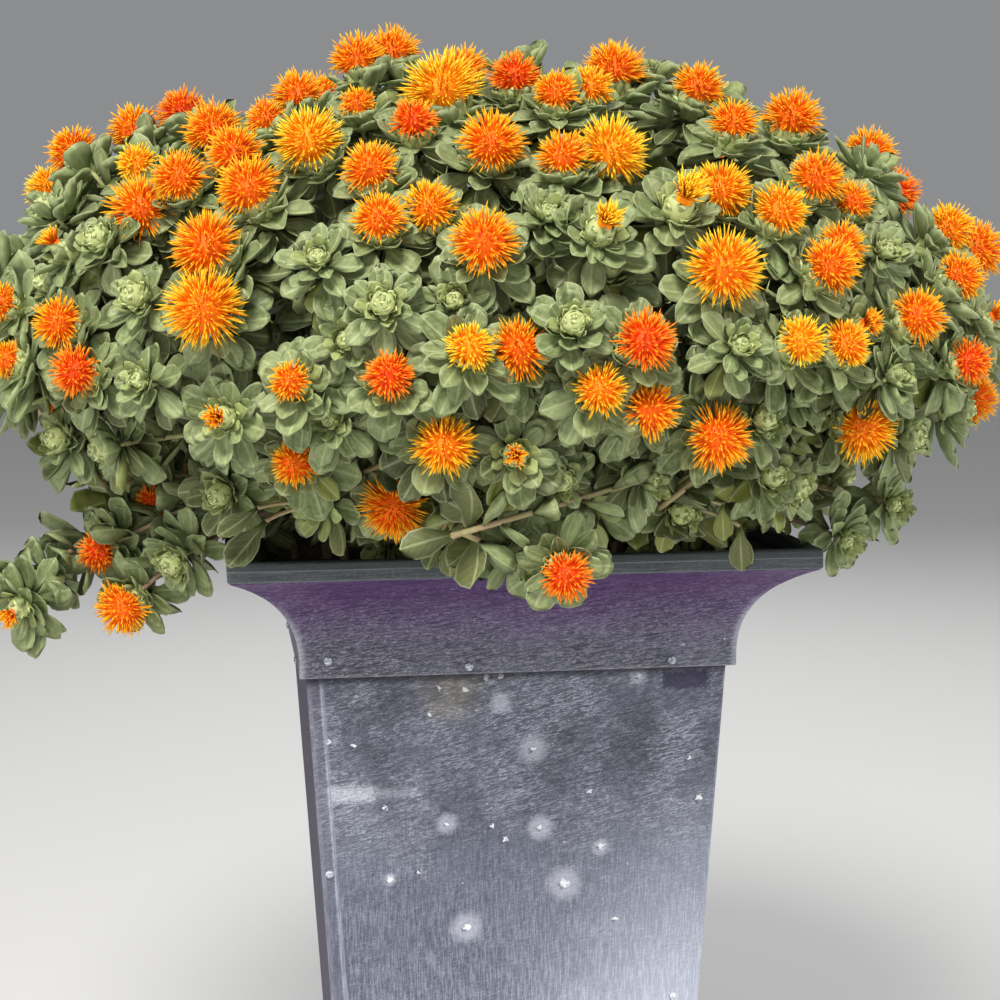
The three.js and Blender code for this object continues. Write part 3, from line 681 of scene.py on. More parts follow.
class Finish:
    """A material whose nodes are added by name, and whose colour is laid on in coats."""

    def __init__(self, name, **sockets):
        self.material = bpy.data.materials.new(name)
        self.material.use_nodes = True
        self.tree = self.material.node_tree
        self.shade = None
        self.give(**sockets)

    def plug(self, slot, value):
        if isinstance(value, Wire):
            self.tree.links.new(value.socket, slot)
        elif isinstance(value, (tuple, Color)) and len(slot.default_value) == 4:
            slot.default_value = (*value, 1)
        else:
            slot.default_value = value

    def node(self, kind, inputs=None, output=0, stops=(), **settings):
        node = self.tree.nodes.new(kind)
        for name, value in settings.items():
            setattr(node, name, value)
        for index, (position, shade) in enumerate(stops):
            elements = node.color_ramp.elements
            element = elements[index] if index < 2 else elements.new(position)
            element.position, element.color = position, (*shade, 1)
        for name, value in (inputs or {}).items():
            self.plug(node.inputs[name], value)
        return Wire(self, node.outputs[output])

    def math(self, operation, *values, clamp=False):
        return self.node("ShaderNodeMath", dict(enumerate(values)), operation=operation, use_clamp=clamp)

    def vector(self, operation, *values, output=0):
        return self.node("ShaderNodeVectorMath", dict(enumerate(values)), output, operation=operation)

    def mix(self, factor, one, two):
        """One colour, and the other where the factor is 1. The node keeps its factor between 0 and 1."""
        return self.node("ShaderNodeMix", {0: factor, 6: one, 7: two}, 2, data_type="RGBA")

    def coat(self, mask, shade, under=None):
        """Lays a colour over the coats before it, or over a first one, where the mask is high."""
        self.shade = self.mix(mask, under or self.shade, shade)

    def place_in_mm(self):
        position = self.node("ShaderNodeTexCoord", output="Object")
        return self.stretch(position, 1 / MM, 1 / MM, 1 / MM)

    def split(self, vector):
        node = self.tree.nodes.new("ShaderNodeSeparateXYZ")
        self.plug(node.inputs[0], vector)
        return [Wire(self, output) for output in node.outputs]

    def stretch(self, vector, x, y, z):
        return self.vector("MULTIPLY", vector, (x, y, z))

    def noise(self, vector, scale, detail=3.0, roughness=0.55, distortion=0.0):
        return self.node("ShaderNodeTexNoise", {
            "Vector": vector, "Scale": scale, "Detail": detail, "Roughness": roughness,
            "Distortion": distortion,
        })

    def spots(self, vector, scale, inner, outer):
        """Scattered round spots, by the distance to the nearest of many points."""
        return self.node("ShaderNodeTexVoronoi", {"Vector": vector, "Scale": scale}).fall(inner, outer)

    def bump(self, height, strength, distance):
        return self.node("ShaderNodeBump", {"Height": height, "Strength": strength, "Distance": distance})

    def give(self, **sockets):
        surface = self.tree.nodes["Principled BSDF"]
        for socket, value in sockets.items():
            self.plug(surface.inputs[socket.replace("_", " ")], value)

    def done(self, **sockets):
        """The finished material, with the last coat as its colour."""
        self.give(Base_Color=self.shade, **sockets)
        return self.material


# How far in front of the planter's middle the marks on the body's front lie, round ones and boxes, the
# row of the body's top in the picture, and how many millimetres a pixel of the picture is there
MARKS_FRONT = 114
BOX_FRONT = 112
BODY_TOP_ROW = 680
PIXEL = 0.53

# Round marks: column, row and radius in the picture
HALOS = (
    (467, 928, 22), (565, 884, 24), (540, 828, 18), (533, 749, 20), (447, 824, 15), (501, 703, 14),
    (601, 848, 12), (390, 880, 9), (639, 676, 12), (672, 1010, 12),
)
FLECKS = (
    (467, 928, 4.5), (565, 884, 5.5), (601, 847, 3.4), (505, 840, 3), (492, 827, 2.6), (439, 688, 3),
    (465, 690, 3.4), (486, 677, 4.2), (501, 676, 3.6), (639, 676, 3), (430, 715, 2.6), (590, 792, 2.8),
    (690, 759, 3), (699, 798, 4.5), (390, 880, 3.4), (419, 873, 2.4), (615, 920, 2.6), (384, 808, 2.8),
    (329, 743, 2.6), (354, 746, 2.4), (533, 749, 3.2), (540, 828, 2.8), (673, 996, 3.4), (447, 824, 2.2),
)
STAIN = (450, 690)
STAIN_REACH = (4, 24)
# Boxes: left, top, right and bottom in the picture, then softness in millimetres and strength
STREAKS = (((328, 789, 376, 803), 3, 1), ((356, 791, 420, 798), 2.4, 0.4))
SMEAR = (662, 671, 708, 687)
SMEAR_SOFTNESS = 1.6

# How the crystalline marks lean, the relief's depth in metres and its strength, and how far back, from
# full to none, the marks of the front are seen
BODY_SLANT = -0.24
COLLAR_SLANT = -0.14
RELIEF = 0.0004
RELIEF_STRENGTH = 0.3
BEHIND_FRONT = (-80, -60)


def on_plane(column, row, front):
    """Where the sight line of a picture point meets a plane that faces the front, as x and z."""
    direction = sight_line(column, row)
    at = EYE + direction * ((-front - EYE[1]) / direction[1])
    return at[0], at[2]


def on_front(column, row, front):
    """The same point with its y."""
    x, z = on_plane(column, row, front)
    return np.array((x, -front, z))


def body_half(height):
    return BODY_TOP_WIDTH / 2 - BODY_TAPER * (COLLAR_FOOT - height)


def marks_mask(finish, flat, marks, softness):
    """Round marks on the front, each 1 in its middle and 0 at its radius."""
    nearest = None
    for column, row, radius in marks:
        x, z = on_plane(column, row, MARKS_FRONT - BODY_TAPER * (row - BODY_TOP_ROW) * PIXEL)
        apart = finish.vector("DISTANCE", flat, (x, 0, z), output="Value") * (1 / (radius * PIXEL))
        nearest = apart if nearest is None else nearest.least(apart)
    return nearest.fall(softness, 1)


def box_mask(place, corners, soft):
    """1 inside an upright box in the plane of the front, given by two picture corners."""
    x, _, z = place
    left, top = on_plane(*corners[:2], BOX_FRONT)
    right, bottom = on_plane(*corners[2:], BOX_FRONT)
    inside = x.rise(left - soft, left + soft) * x.fall(right - soft, right + soft)
    return inside * z.rise(bottom - soft, bottom + soft) * z.fall(top - soft, top + soft)


def scratches(finish, at, slant):
    """Fine crystalline marks that run across the sheet, a finer grain, and the strokes they follow."""
    x, y, z = finish.split(at)
    leaning = finish.node("ShaderNodeCombineXYZ", {"X": x, "Y": y, "Z": z + (x + y) * slant})
    strokes = finish.noise(finish.stretch(leaning, 0.075, 0.075, 0.62), 1, 4, 0.72, 0.7)
    grain = finish.noise(finish.stretch(leaning, 0.42, 0.42, 1.3), 1, 3, 0.75, 0.8)
    lines = abs(strokes - 0.5).fall(0.0, 0.07)
    return lines * grain.rise(0.34, 0.6), grain, strokes


def lay_marks(finish, at, front, patch, grain):
    """Pale halos round pits, bright flecks, a brown stain, a pale streak and a dark smear."""
    flat = finish.stretch(at, 1, 0, 1)
    swirl = finish.node("ShaderNodeTexNoise", {"Vector": at, "Scale": 0.55, "Detail": 3.0}, "Color")
    ragged = finish.stretch(finish.vector("SUBTRACT", swirl, (0.5, 0.5, 0.5)), 5.5, 0, 5.5)
    torn = finish.vector("ADD", flat, ragged)
    less_torn = finish.vector("ADD", flat, finish.stretch(ragged, 0.7, 0, 0.7))
    shifted = finish.vector("ADD", torn, (0.9, 0, 0.7))
    fleck = marks_mask(finish, torn, FLECKS, 0.6) * front
    specks = finish.spots(finish.vector("ADD", at, ragged), 0.085, 0.02, 0.05)
    finish.coat(
        marks_mask(finish, less_torn, HALOS, 0.35) * front * (0.26 + grain * 0.5), colour(198, 201, 216)
    )
    finish.coat(marks_mask(finish, shifted, FLECKS, 0.7) * front * 0.6, colour(52, 52, 60))
    finish.coat((fleck * 0.9).most(specks * 0.6), colour(232, 233, 240))
    stain_x, stain_z = on_plane(*STAIN, MARKS_FRONT - 1)
    stain = finish.vector("DISTANCE", flat, (stain_x, 0, stain_z), output="Value").fall(*STAIN_REACH)
    finish.coat(stain * front * 0.25 * (0.5 + patch), colour(172, 160, 122))
    place = finish.split(torn)
    wide, thin = (box_mask(place, corners, soft) * strength for corners, soft, strength in STREAKS)
    finish.coat(wide.most(thin) * front * (grain.rise(0.3, 0.62) * 0.55 + 0.2), colour(206, 210, 222))
    smear = box_mask(place, SMEAR, SMEAR_SOFTNESS) * front
    finish.coat(smear * (0.8 + patch * 0.2), colour(54, 50, 76))
    return fleck


def lay_edges(finish, at, front, scratch, grain):
    """The violet left side, the folds and corners rubbed pale and painted with a highlight, the lapped strip
    and the shadow under the collar.
    """
    x, y, z = finish.split(at)
    facing_x, _, _ = finish.split(finish.node("ShaderNodeNewGeometry", output="Normal"))
    left = abs(facing_x).rise(0.6, 0.9) * x.fall(-10, 10)
    finish.coat(left * 0.95, finish.mix(scratch * 0.5, colour(44, 34, 64), colour(88, 80, 114)))
    half = BODY_TOP_WIDTH / 2 + (z - COLLAR_FOOT) * BODY_TAPER
    from_fold = x + half - SEAM_WIDTH
    rubbed = finish.noise(finish.stretch(at, 0.3, 0.3, 0.05), 1, 4, 0.7).rise(0.25, 0.7)
    # Pale along the seam's fold and at the body's corners: rubbed zinc, and a painted highlight where the
    # edges catch the light
    fold_wear_and_highlight = abs(from_fold + grain * 2.4 - 1).fall(0.2, 1.9) * front * (0.3 + rubbed * 0.7)
    corner = abs(abs(x) - half).fall(0.6, 2.0) * abs(abs(y) - half).fall(0.6, 2.0)
    finish.coat((fold_wear_and_highlight * 0.7).most(corner * rubbed * 0.5), colour(190, 194, 210))
    finish.coat(from_fold.fall(-1.6, -0.8) * front * 0.4, colour(92, 90, 108))
    # Painted shadow under the collar's foot
    finish.coat(z.rise(COLLAR_FOOT - 7, COLLAR_FOOT - 1) * 0.8, colour(30, 27, 38))


def zinc_finish(settings):
    """Weathered zinc: scratchy across the top, brushed and brighter below, with pits and pale halos, and a
    painted reflection that lightens the front's lower right.
    """
    finish = Finish("weathered_zinc", Metallic=0.35)
    at = finish.place_in_mm()
    x, y, z = finish.split(at)
    front = y.fall(*BEHIND_FRONT)
    low = z.fall(285, 365)
    high = 1 - low * 0.85
    cloud = finish.noise(at, 0.016, 4, 0.62)
    patch = finish.noise(at, 0.034, 4, 0.62).rise(0.38, 0.62)
    lines, grain, strokes = scratches(finish, at, BODY_SLANT)
    brushed = finish.noise(finish.stretch(at, 1.3, 1.3, 0.05), 1, 4, 0.72).rise(0.42, 0.66)
    scratch = lines * (0.25 + patch * 0.9) * high + brushed * low * (0.85 - z.rise(130, 320) * 0.52)
    # Painted reflection: a pale patch laid into the colour at the lower right, strongest on the front
    painted_reflection = (x + 0.42 * (290 - z)).rise(-5, 120) * z.fall(90, 390) * (front * 0.8 + 0.2)
    # Scratches and grain, and the painted reflection, turn the zinc towards its light colour
    brighter = (scratch * 0.52 + grain.rise(0.42, 0.72) * 0.15 + low * 0.02 + painted_reflection * 0.95).held()
    finish.coat(cloud.rise(0.35, 0.65), settings.zinc_middle, settings.zinc_dark)
    finish.coat(low * 0.4, colour(84, 90, 114))
    finish.coat(patch * (0.1 + high * 0.2), colour(106, 108, 122))
    finish.coat(strokes.fall(0.28, 0.5) * high * 0.55, colour(62, 63, 74))
    finish.coat(brighter, settings.zinc_light)
    fleck = lay_marks(finish, at, front, patch, grain)
    lay_edges(finish, at, front, scratch, grain)
    relief = scratch * 0.5 + grain * 0.3 + fleck * 1.4
    return finish.done(
        Roughness=(0.6 - brighter * 0.2 + fleck * 0.1 + cloud * 0.08).held(),
        Normal=finish.bump(relief, RELIEF_STRENGTH, RELIEF),
    )


def collar_finish(settings):
    """Weathered zinc with a violet cast that fades towards the collar's grey foot, a pale hem and pale corner
    lines that are rubbed and partly a painted highlight, and painted shade on its inner wall.
    """
    finish = Finish("violet_zinc", Metallic=0.35)
    at = finish.place_in_mm()
    x, y, z = finish.split(at)
    lines, grain, strokes = scratches(finish, at, COLLAR_SLANT)
    cloud = finish.noise(at, 0.03, 4, 0.6)
    height = ((z - COLLAR_FOOT) / COLLAR_HEIGHT + (cloud - 0.5) * 0.5).held()
    finish.coat(cloud.rise(0.35, 0.65), settings.zinc_middle, settings.zinc_dark)
    finish.coat(height.rise(0.1, 0.75), settings.zinc_violet)
    pale = finish.mix(height, colour(178, 178, 190), colour(126, 98, 152))
    finish.coat(lines * 0.5 + grain.rise(0.46, 0.74) * 0.25, pale)
    finish.coat(strokes.fall(0.28, 0.5) * 0.6, colour(44, 38, 58))
    # Pale hem and corner lines: rubbed zinc, and a painted highlight along the edges
    corner = abs(abs(x) - abs(y)).fall(0.5, 5) * height.fall(0.35, 0.8)
    hem = (0.4 * z.fall(COLLAR_FOOT + 0.4, COLLAR_FOOT + 1.4)).most(corner)
    finish.coat(hem * (0.1 + grain), colour(176, 178, 192))
    finish.coat(finish.spots(at, 0.06, 0.02, 0.05) * 0.6, colour(214, 214, 224))
    # Painted shade: the collar's inner wall, whose face turns inward, is darkened
    normal = finish.node("ShaderNodeNewGeometry", output="Normal")
    outward_share = finish.vector("DOT_PRODUCT", normal, finish.stretch(at, 1, 1, 0), output="Value")
    finish.coat(outward_share.fall(-20, 0) * 0.85, colour(44, 44, 48))
    return finish.done(
        Roughness=(0.64 - grain * 0.2).held(),
        Normal=finish.bump(lines * 0.5 + grain * 0.5, RELIEF_STRENGTH, RELIEF),
    )


def lip_finish(settings):
    """The dull dark strip round the rim, scratched along its length, with a groove below its top and a
    painted highlight along its foot.
    """
    finish = Finish("dark_rim_zinc", Metallic=0.3)
    at = finish.place_in_mm()
    _, _, z = finish.split(at)
    along = finish.noise(finish.stretch(at, 0.05, 0.05, 1.6), 1, 4, 0.7, 0.4)
    fine = finish.noise(finish.stretch(at, 0.4, 0.4, 2.0), 1, 3, 0.7)
    finish.coat(along.rise(0.3, 0.7), settings.lip_colour, colour(48, 53, 57))
    finish.coat(fine.rise(0.5, 0.75) * 0.5, colour(142, 150, 154))
    finish.coat(finish.spots(at, 0.05, 0.03, 0.09) * 0.5, colour(160, 164, 168))
    from_groove = z + along * 0.8 - (RIM_TOP - 1.6)
    finish.coat(from_groove.rise(0.1, 0.5) * 0.55, colour(48, 54, 54))
    # A pale line along the groove, and a painted highlight along the lip's foot
    groove = abs(from_groove).fall(0.15, 0.5)
    foot = z.fall(LIP_BOTTOM + 0.3, LIP_BOTTOM + 1.5)
    finish.coat((groove * 0.4).most(foot * fine * 0.7), colour(128, 136, 138))
    return finish.done(Roughness=(0.5 + fine * 0.3).held(), Normal=finish.bump(along + fine, 0.4, RELIEF))


def rivet_finish(settings):
    """Rivet heads rubbed pale, with a dull foot."""
    finish = Finish("rubbed_rivet", Metallic=0.35)
    rough = finish.noise(finish.place_in_mm(), 0.9, 3, 0.7)
    finish.coat(rough.rise(0.35, 0.65), settings.zinc_light, settings.zinc_middle)
    return finish.done(Roughness=(0.4 + rough * 0.3).held())


def soil_finish(settings):
    """Crumbly potting soil with pale grit."""
    finish = Finish("potting_soil", Roughness=0.95)
    at = finish.place_in_mm()
    crumb = finish.noise(at, 0.22, 6, 0.7)
    finish.coat(crumb.rise(0.3, 0.7), settings.soil_colour, colour(28, 20, 14))
    finish.coat(finish.spots(at, 0.16, 0.06, 0.14) * 0.5, colour(120, 108, 92))
    return finish.done(Normal=finish.bump(crumb, 0.9, 0.002))


def cells(finish):
    """The UV place, a leaf's own cell there, the cell's row, and how far across and along the leaf."""
    at = finish.node("ShaderNodeUVMap", uv_map=UV_MAP)
    wide = finish.vector("MULTIPLY", at, (CELLS, CELLS, 0))
    cell = finish.vector("FLOOR", wide)
    across, along, _ = finish.split(finish.vector("FRACTION", wide))
    _, row, _ = finish.split(cell)
    stretch = 1 / (1 - 2 * CELL_MARGIN)
    return at, cell, row, (across - CELL_MARGIN) * stretch, (along - CELL_MARGIN) * stretch


def leaf_finish(settings):
    """Matte sage leaves with a pale midrib, faint side veins and a thin pale edge that is partly a painted
    rim light.
    """
    finish = Finish("sage_leaf")
    at, cell, row, across, along = cells(finish)
    chances = finish.split(finish.node("ShaderNodeTexWhiteNoise", {"Vector": cell}, "Color"))
    blotch = finish.noise(at, 44, 2, 0.6)
    old = row.over(OLD_ROW - 0.5)
    finish.coat(chances[0], settings.sage, settings.sage_deep)
    finish.coat(blotch.rise(0.35, 0.7) * 0.5, colour(166, 176, 130))
    finish.coat(row.over(YOUNG_ROW - 0.5) * (1 - old) * 0.6, colour(170, 182, 108))
    older = finish.mix(chances[1], settings.old_leaf, colour(66, 72, 36))
    finish.coat(old * 0.75, finish.mix(chances[2].over(0.76) * 0.7, older, colour(146, 152, 54)))
    off = abs(across - 0.5) * 2
    slant = ((along - off * 0.32) * 6.5 + chances[2]).fraction()
    side_vein = abs(slant - 0.5).fall(0.03, 0.11) * off.rise(0.05, 0.2) * off.fall(0.75, 0.95)
    # The thin pale edge is partly the leaf's own margin and partly a painted rim light
    edge = off.rise(0.84, 0.98).most(along.rise(0.93, 0.99))
    finish.coat(off.fall(0.03, 0.14) * 0.4 + side_vein * 0.1 + edge * 0.5, settings.vein)
    finish.coat(along.fall(0.0, 0.45) * 0.5, colour(78, 92, 30))
    finish.coat(row.remainder(2.0) * 0.35, colour(128, 140, 94))
    return finish.done(Roughness=(0.5 + blotch * 0.2).held())


def stem_finish(settings):
    """Stems that are green near the heads and reddish brown low down."""
    finish = Finish("safflower_stem")
    at, _, _, _, along = cells(finish)
    streak = finish.noise(finish.stretch(at, 90, 12, 1), 1, 3, 0.6)
    finish.coat(along * 2.2 + streak * 0.9 - 0.4, settings.stem_green, settings.stem_brown)
    finish.coat(streak.rise(0.5, 0.75) * 0.45, colour(184, 186, 140))
    return finish.done(Roughness=(0.5 + streak * 0.2).held())


def bract_finish(settings):
    """Pale bracts, each with a dark green oval near its tip."""
    finish = Finish("pale_bract", Roughness=0.6)
    _, cell, _, across, along = cells(finish)
    chance = finish.node("ShaderNodeTexWhiteNoise", {"Vector": cell})
    off = abs(across - 0.5) * 2
    oval = (off * off + ((along - 0.66) * 3.6) ** 2.0).root()
    finish.coat(chance * 0.5, colour(178, 192, 132), settings.ball)
    finish.coat(along.fall(0.0, 0.4) * 0.45, colour(140, 156, 96))
    finish.coat(oval.fall(0.45, 0.8) * 0.8, settings.bract_tip)
    finish.coat(off.rise(0.8, 0.98) * 0.4, colour(222, 226, 188))
    return finish.done()


def floret_finish(settings):
    """Threads that go from a deep foot to a bright yellow tip, by the tuft's own hue."""
    finish = Finish("safflower_floret", Roughness=0.6, Specular_IOR_Level=0.25)
    hue, along, _ = finish.split(finish.node("ShaderNodeUVMap", uv_map=UV_MAP))
    red, orange, yellow = (
        finish.node("ShaderNodeValToRGB", {"Fac": along}, stops=((0.15, foot), (0.6, middle), (0.95, tip)))
        for foot, middle, tip in (
            (colour(222, 44, 2), settings.floret_red, colour(255, 160, 34)),
            (colour(248, 100, 0), settings.floret_orange, colour(255, 208, 36)),
            (colour(254, 136, 0), settings.floret_yellow, colour(255, 228, 58)),
        )
    )
    finish.coat(hue * 2, orange, red)
    finish.coat(hue * 2 - 1, yellow)
    return finish.done()


# Plants: each shape is modelled once, one unit long, and then copied to its places

class Shape:
    """A small mesh to be copied: its points, faces, place across and along, and kind of surface."""

    def __init__(self, obj, places, part, upper_faces=None):
        mesh = obj.data
        self.points = points_of(obj)
        self.totals = np.array([face.loop_total for face in mesh.polygons])
        self.corners = np.array([index for face in mesh.polygons for index in face.vertices])
        self.part = part
        self.local = places[self.corners]
        lower = np.zeros(len(mesh.polygons), int)
        lower[upper_faces or len(lower):] = 1
        self.lower = np.repeat(lower, self.totals)
        bpy.data.objects.remove(obj)


# Where a leaf's even grid rows lie along it, and how wide it is at each, as a share of its widest
LEAF_ROWS = (0, 0.24, 0.46, 0.67, 0.87, 1)
LEAF_OUTLINE = (0.13, 0.36, 0.86, 1, 0.85, 0.47)
TIP_ROUNDING = 0.065
EDGE_WAVE = 0.012
LEAF_THICKNESS, SMALL_LEAF_THICKNESS, BRACT_THICKNESS = 0.022, 0.03, 0.08

# Bends of the large leaves, the small leaves and the bracts: width, curl, cup and fold at the midrib
LEAF_BENDS = (
    (0.94, 0.3, 0.5, 0.14), (1.08, 0.16, 0.7, 0.18), (1.22, 0.42, 0.35, 0.08), (1, -0.08, 0.4, 0.18),
)
SMALL_LEAF_BENDS = ((1.1, 0.5, 0.6, 0.1), (1, 0.3, 0.4, 0.1), (1.25, 0.1, 0.5, 0.12))
BRACT_BEND = (0.72, -0.1, -0.5, -0.2)
THREAD_BOWS = (0.0, 1.5, 3.0, 5.0)


def bend_leaf(points, width, curl, cup, fold):
    """Turns a flat grid, from -0.5 to 0.5 both ways, into a spoon-shaped leaf with a rounded tip."""
    across, even = points[:, 0] * 2, points[:, 1] + 0.5
    along = np.interp(even, np.linspace(0, 1, len(LEAF_ROWS)), LEAF_ROWS)
    half = np.interp(along, LEAF_ROWS, LEAF_OUTLINE) * width / 2
    along = along - TIP_ROUNDING * across**2 * even**3
    height = curl * along**2 - 0.1 * along + cup * half * across**2 - fold * (1 - abs(across)) * half
    height += EDGE_WAVE * abs(across) * np.sin(17 * along + 2.1 * across)
    return np.stack((across * half, along, height), 1)


def leaf_shape(width, columns, rows, bend, part, thickness):
    """A closed leaf whose upper and lower faces meet in a thin rim."""
    deselect()
    bpy.ops.mesh.primitive_grid_add(x_subdivisions=columns, y_subdivisions=rows, size=1)
    leaf = bpy.context.object
    flat = points_of(leaf)
    rim = (abs(flat) > 0.499).any(1)
    set_points(leaf, bend_leaf(flat, width, *bend))
    pick(leaf, "FACE", everything)
    bpy.ops.mesh.duplicate()
    bpy.ops.mesh.flip_normals()
    finish_edit()
    points = points_of(leaf)
    points[len(flat):, 2] -= np.where(rim, 0, thickness)
    set_points(leaf, points)
    upper_faces = len(leaf.data.polygons) // 2
    pick(leaf, "FACE", everything)
    bpy.ops.mesh.remove_doubles(threshold=1e-5)
    finish_edit()
    apart = abs(points_of(leaf)[:, None] - points[None]).sum(2)
    places = (np.tile(flat[:, :2], (2, 1)) + 0.5)[apart.argmin(1)]
    return Shape(leaf, places, part, upper_faces if part == LEAF_PART else None)


def ball_shape(part, along):
    """A plain ball whose whole surface takes its colour from one place along."""
    deselect()
    bpy.ops.mesh.primitive_uv_sphere_add(segments=10, ring_count=7, radius=1)
    ball = bpy.context.object
    return Shape(ball, np.tile((0.5, along), (len(ball.data.vertices), 1)), part)


def thread_shape(bow):
    """A floret: a thin three-sided thread, slightly bent, that swells before its pointed tip."""
    deselect()
    bpy.ops.mesh.primitive_circle_add(vertices=3, radius=0.75, fill_type="NGON")
    thread = bpy.context.object
    pick(thread, "FACE", everything)
    for rise, swell in ((0.8, 1.3), (0.2, 1)):
        bpy.ops.mesh.extrude_region_move(TRANSFORM_OT_translate={"value": (0, 0, rise)})
        bpy.ops.transform.resize(value=(swell, swell, 1))
    bpy.ops.mesh.merge(type="CENTER")
    finish_edit()
    outward(thread)
    points = points_of(thread)
    places = np.stack((np.full(len(points), 0.5), points[:, 2]), 1)
    points[:, 0] += bow * points[:, 2] ** 2
    set_points(thread, points)
    return Shape(thread, places, 0)


def model_shapes(settings):
    """Every shape that is copied, modelled once."""
    width, *bend = BRACT_BEND
    return {
        "large": [
            leaf_shape(settings.leaf_width * wide, 4, 5, turns, LEAF_PART, LEAF_THICKNESS)
            for wide, *turns in LEAF_BENDS
        ],
        "small": [
            leaf_shape(settings.leaf_width * wide, 2, 4, turns, LEAF_PART, SMALL_LEAF_THICKNESS)
            for wide, *turns in SMALL_LEAF_BENDS
        ],
        "bract": leaf_shape(width, 2, 3, bend, BRACT_PART, BRACT_THICKNESS),
        "ball": ball_shape(BRACT_PART, 0.1),
        "dome": ball_shape(0, 0.3),
        "threads": [thread_shape(bow) for bow in THREAD_BOWS],
    }


def mesh_object(name, points, corners, totals, places, parts, finishes):
    """A smooth mesh from its points in millimetres, corners, faces and UV places."""
    mesh = bpy.data.meshes.new(name)
    mesh.vertices.add(len(points))
    mesh.vertices.foreach_set("co", (points * MM).ravel())
    mesh.loops.add(len(corners))
    mesh.loops.foreach_set("vertex_index", corners)
    mesh.polygons.add(len(totals))
    mesh.polygons.foreach_set("loop_start", np.cumsum(totals) - totals)
    mesh.polygons.foreach_set("material_index", parts)
    mesh.polygons.foreach_set("use_smooth", np.ones(len(totals), bool))
    layer = mesh.uv_layers.new(name=UV_MAP)
    layer.uv.foreach_set("vector", places.astype(np.float32).ravel())
    mesh.update(calc_edges=True)
    for finish in finishes:
        mesh.materials.append(finish)
    obj = bpy.data.objects.new(name, mesh)
    bpy.context.scene.collection.objects.link(obj)
    return obj


def gather(name, plantings, finishes):
    """One mesh of every copy in some plantings."""
    points, corners, totals, places, parts = [], [], [], [], []
    first = 0
    for planting in plantings:
        count = len(planting.frames)
        if not count:
            continue
        shape = planting.shape
        frames, origins = np.array(planting.frames), np.array(planting.origins)
        placed = np.einsum("kij,nj->kni", frames, shape.points) + origins[:, None]
        size = len(shape.points)
        points.append(placed.reshape(-1, 3))
        corners.append((shape.corners[None] + first + size * np.arange(count)[:, None]).ravel())
        totals.append(np.tile(shape.totals, count))
        places.append(planting.uv_places().reshape(-1, 2))
        parts.append(np.full(len(shape.totals) * count, shape.part))
        first += size * count
    return mesh_object(name, *map(np.concatenate, (points, corners, totals, places, parts)), finishes)


class Planting:
    """Collects where the copies of one shape go: their frames, origins, and columns and rows of cells."""

    def __init__(self, shape):
        self.shape, self.frames, self.origins, self.cells = shape, [], [], []

    def put(self, across, along, upper, at, cell):
        self.frames.append(np.stack((across, along, upper), 1))
        self.origins.append(at)
        self.cells.append(cell)

    def add(self, along, upper, length, width, at, column, row, depth=None):
        """A copy that lies along a direction with its upper face towards another."""
        along = unit(along)
        upper = unit(upper - along * (upper @ along))
        across = np.cross(along, upper)
        depth = length if depth is None else depth
        self.put(across * width, along * length, upper * depth, at, (column, row))

    def uv_places(self):
        """UV places of each copy, in its own cell. The underside's cell is one row up."""
        lower = self.shape.lower
        cell = np.array(self.cells)[:, None] + np.stack((0 * lower, lower), 1)
        return (cell + CELL_MARGIN + (1 - 2 * CELL_MARGIN) * self.shape.local) / CELLS


class FloretPlanting(Planting):
    """Florets, whose UV place is their hue and how far along they are."""

    def uv_places(self):
        hues, along = np.array(self.cells), self.shape.local[:, 1]
        places = np.empty((len(hues), len(along), 2))
        places[:, :, 0] = hues[:, None]
        places[:, :, 1] = 0.03 + 0.94 * along
        return places


# Leaves that hang over the front rim: column and row of the foot and of the tip, and how far in front
HANGING_LEAVES = (
    (441, 535, 427, 570, 200), (449, 538, 450, 577, 203), (462, 540, 470, 564, 198),
    (494, 527, 508, 560, 205), (266, 521, 230, 568, 172), (258, 508, 219, 538, 182),
    (740, 526, 742, 572, 172), (722, 504, 724, 541, 176),
)
HANGING_ARCH = 5

# Room that leaves keep from the rim, and the sizes that are tried
RIM_ROOM = 5
WALL_ROOM = 13
LEAF_SHARES = (0.3, 0.55, 0.8, 1.0)
LEAF_LIFT = 0.12
SHRINKS = (1.0, 0.8, 0.62, 0.45)

# Whorls of leaves, from the head down: kind of leaf, number, turn in radians, tilt above the head's
# plane, length as a share of the head's longest leaf, how far down, row of cells, and how far out
# from the axis as a share of the ball, or None for leaves that start at the twig
WHORLS = {
    "bloom": (
        ("small", 7, 0.3, 0.7, 0.45, 0, YOUNG_ROW, 0.6),
        ("large", 7, 0.1, 0.34, 0.68, 0, LEAF_ROW, 0.3),
        ("large", 6, 0.5, 0.02, 0.86, 1, LEAF_ROW, None),
        ("large", 5, 0, -0.3, 0.98, 4, LEAF_ROW, None),
        ("small", 5, 0.7, -0.65, 0.9, 7, OLD_ROW, None),
    ),
    "rosette": (
        ("small", 7, 0.1, 0.8, 0.52, 0, YOUNG_ROW, 0.6),
        ("large", 7, 0.3, 0.44, 0.7, 1, LEAF_ROW, None),
        ("large", 6, 0, 0.1, 0.92, 3, LEAF_ROW, None),
        ("large", 5, 0.6, -0.26, 1.02, 6, LEAF_ROW, None),
        ("small", 5, 0.2, -0.6, 0.9, 8, OLD_ROW, None),
    ),
    "sprig": (
        ("small", 6, 0.4, 1.0, 0.42, 2, YOUNG_ROW, None),
        ("large", 6, 0, 0.45, 0.72, 3, YOUNG_ROW, None),
        ("large", 5, 0.5, 0.0, 0.95, 6, LEAF_ROW, None),
        ("large", 4, 0.2, -0.35, 1.05, 11, OLD_ROW, None),
    ),
}
TWIG_ROOM = 2.0
LOOSENESS = 0.16
OLD_LEAF_HEIGHTS = (560, 480)

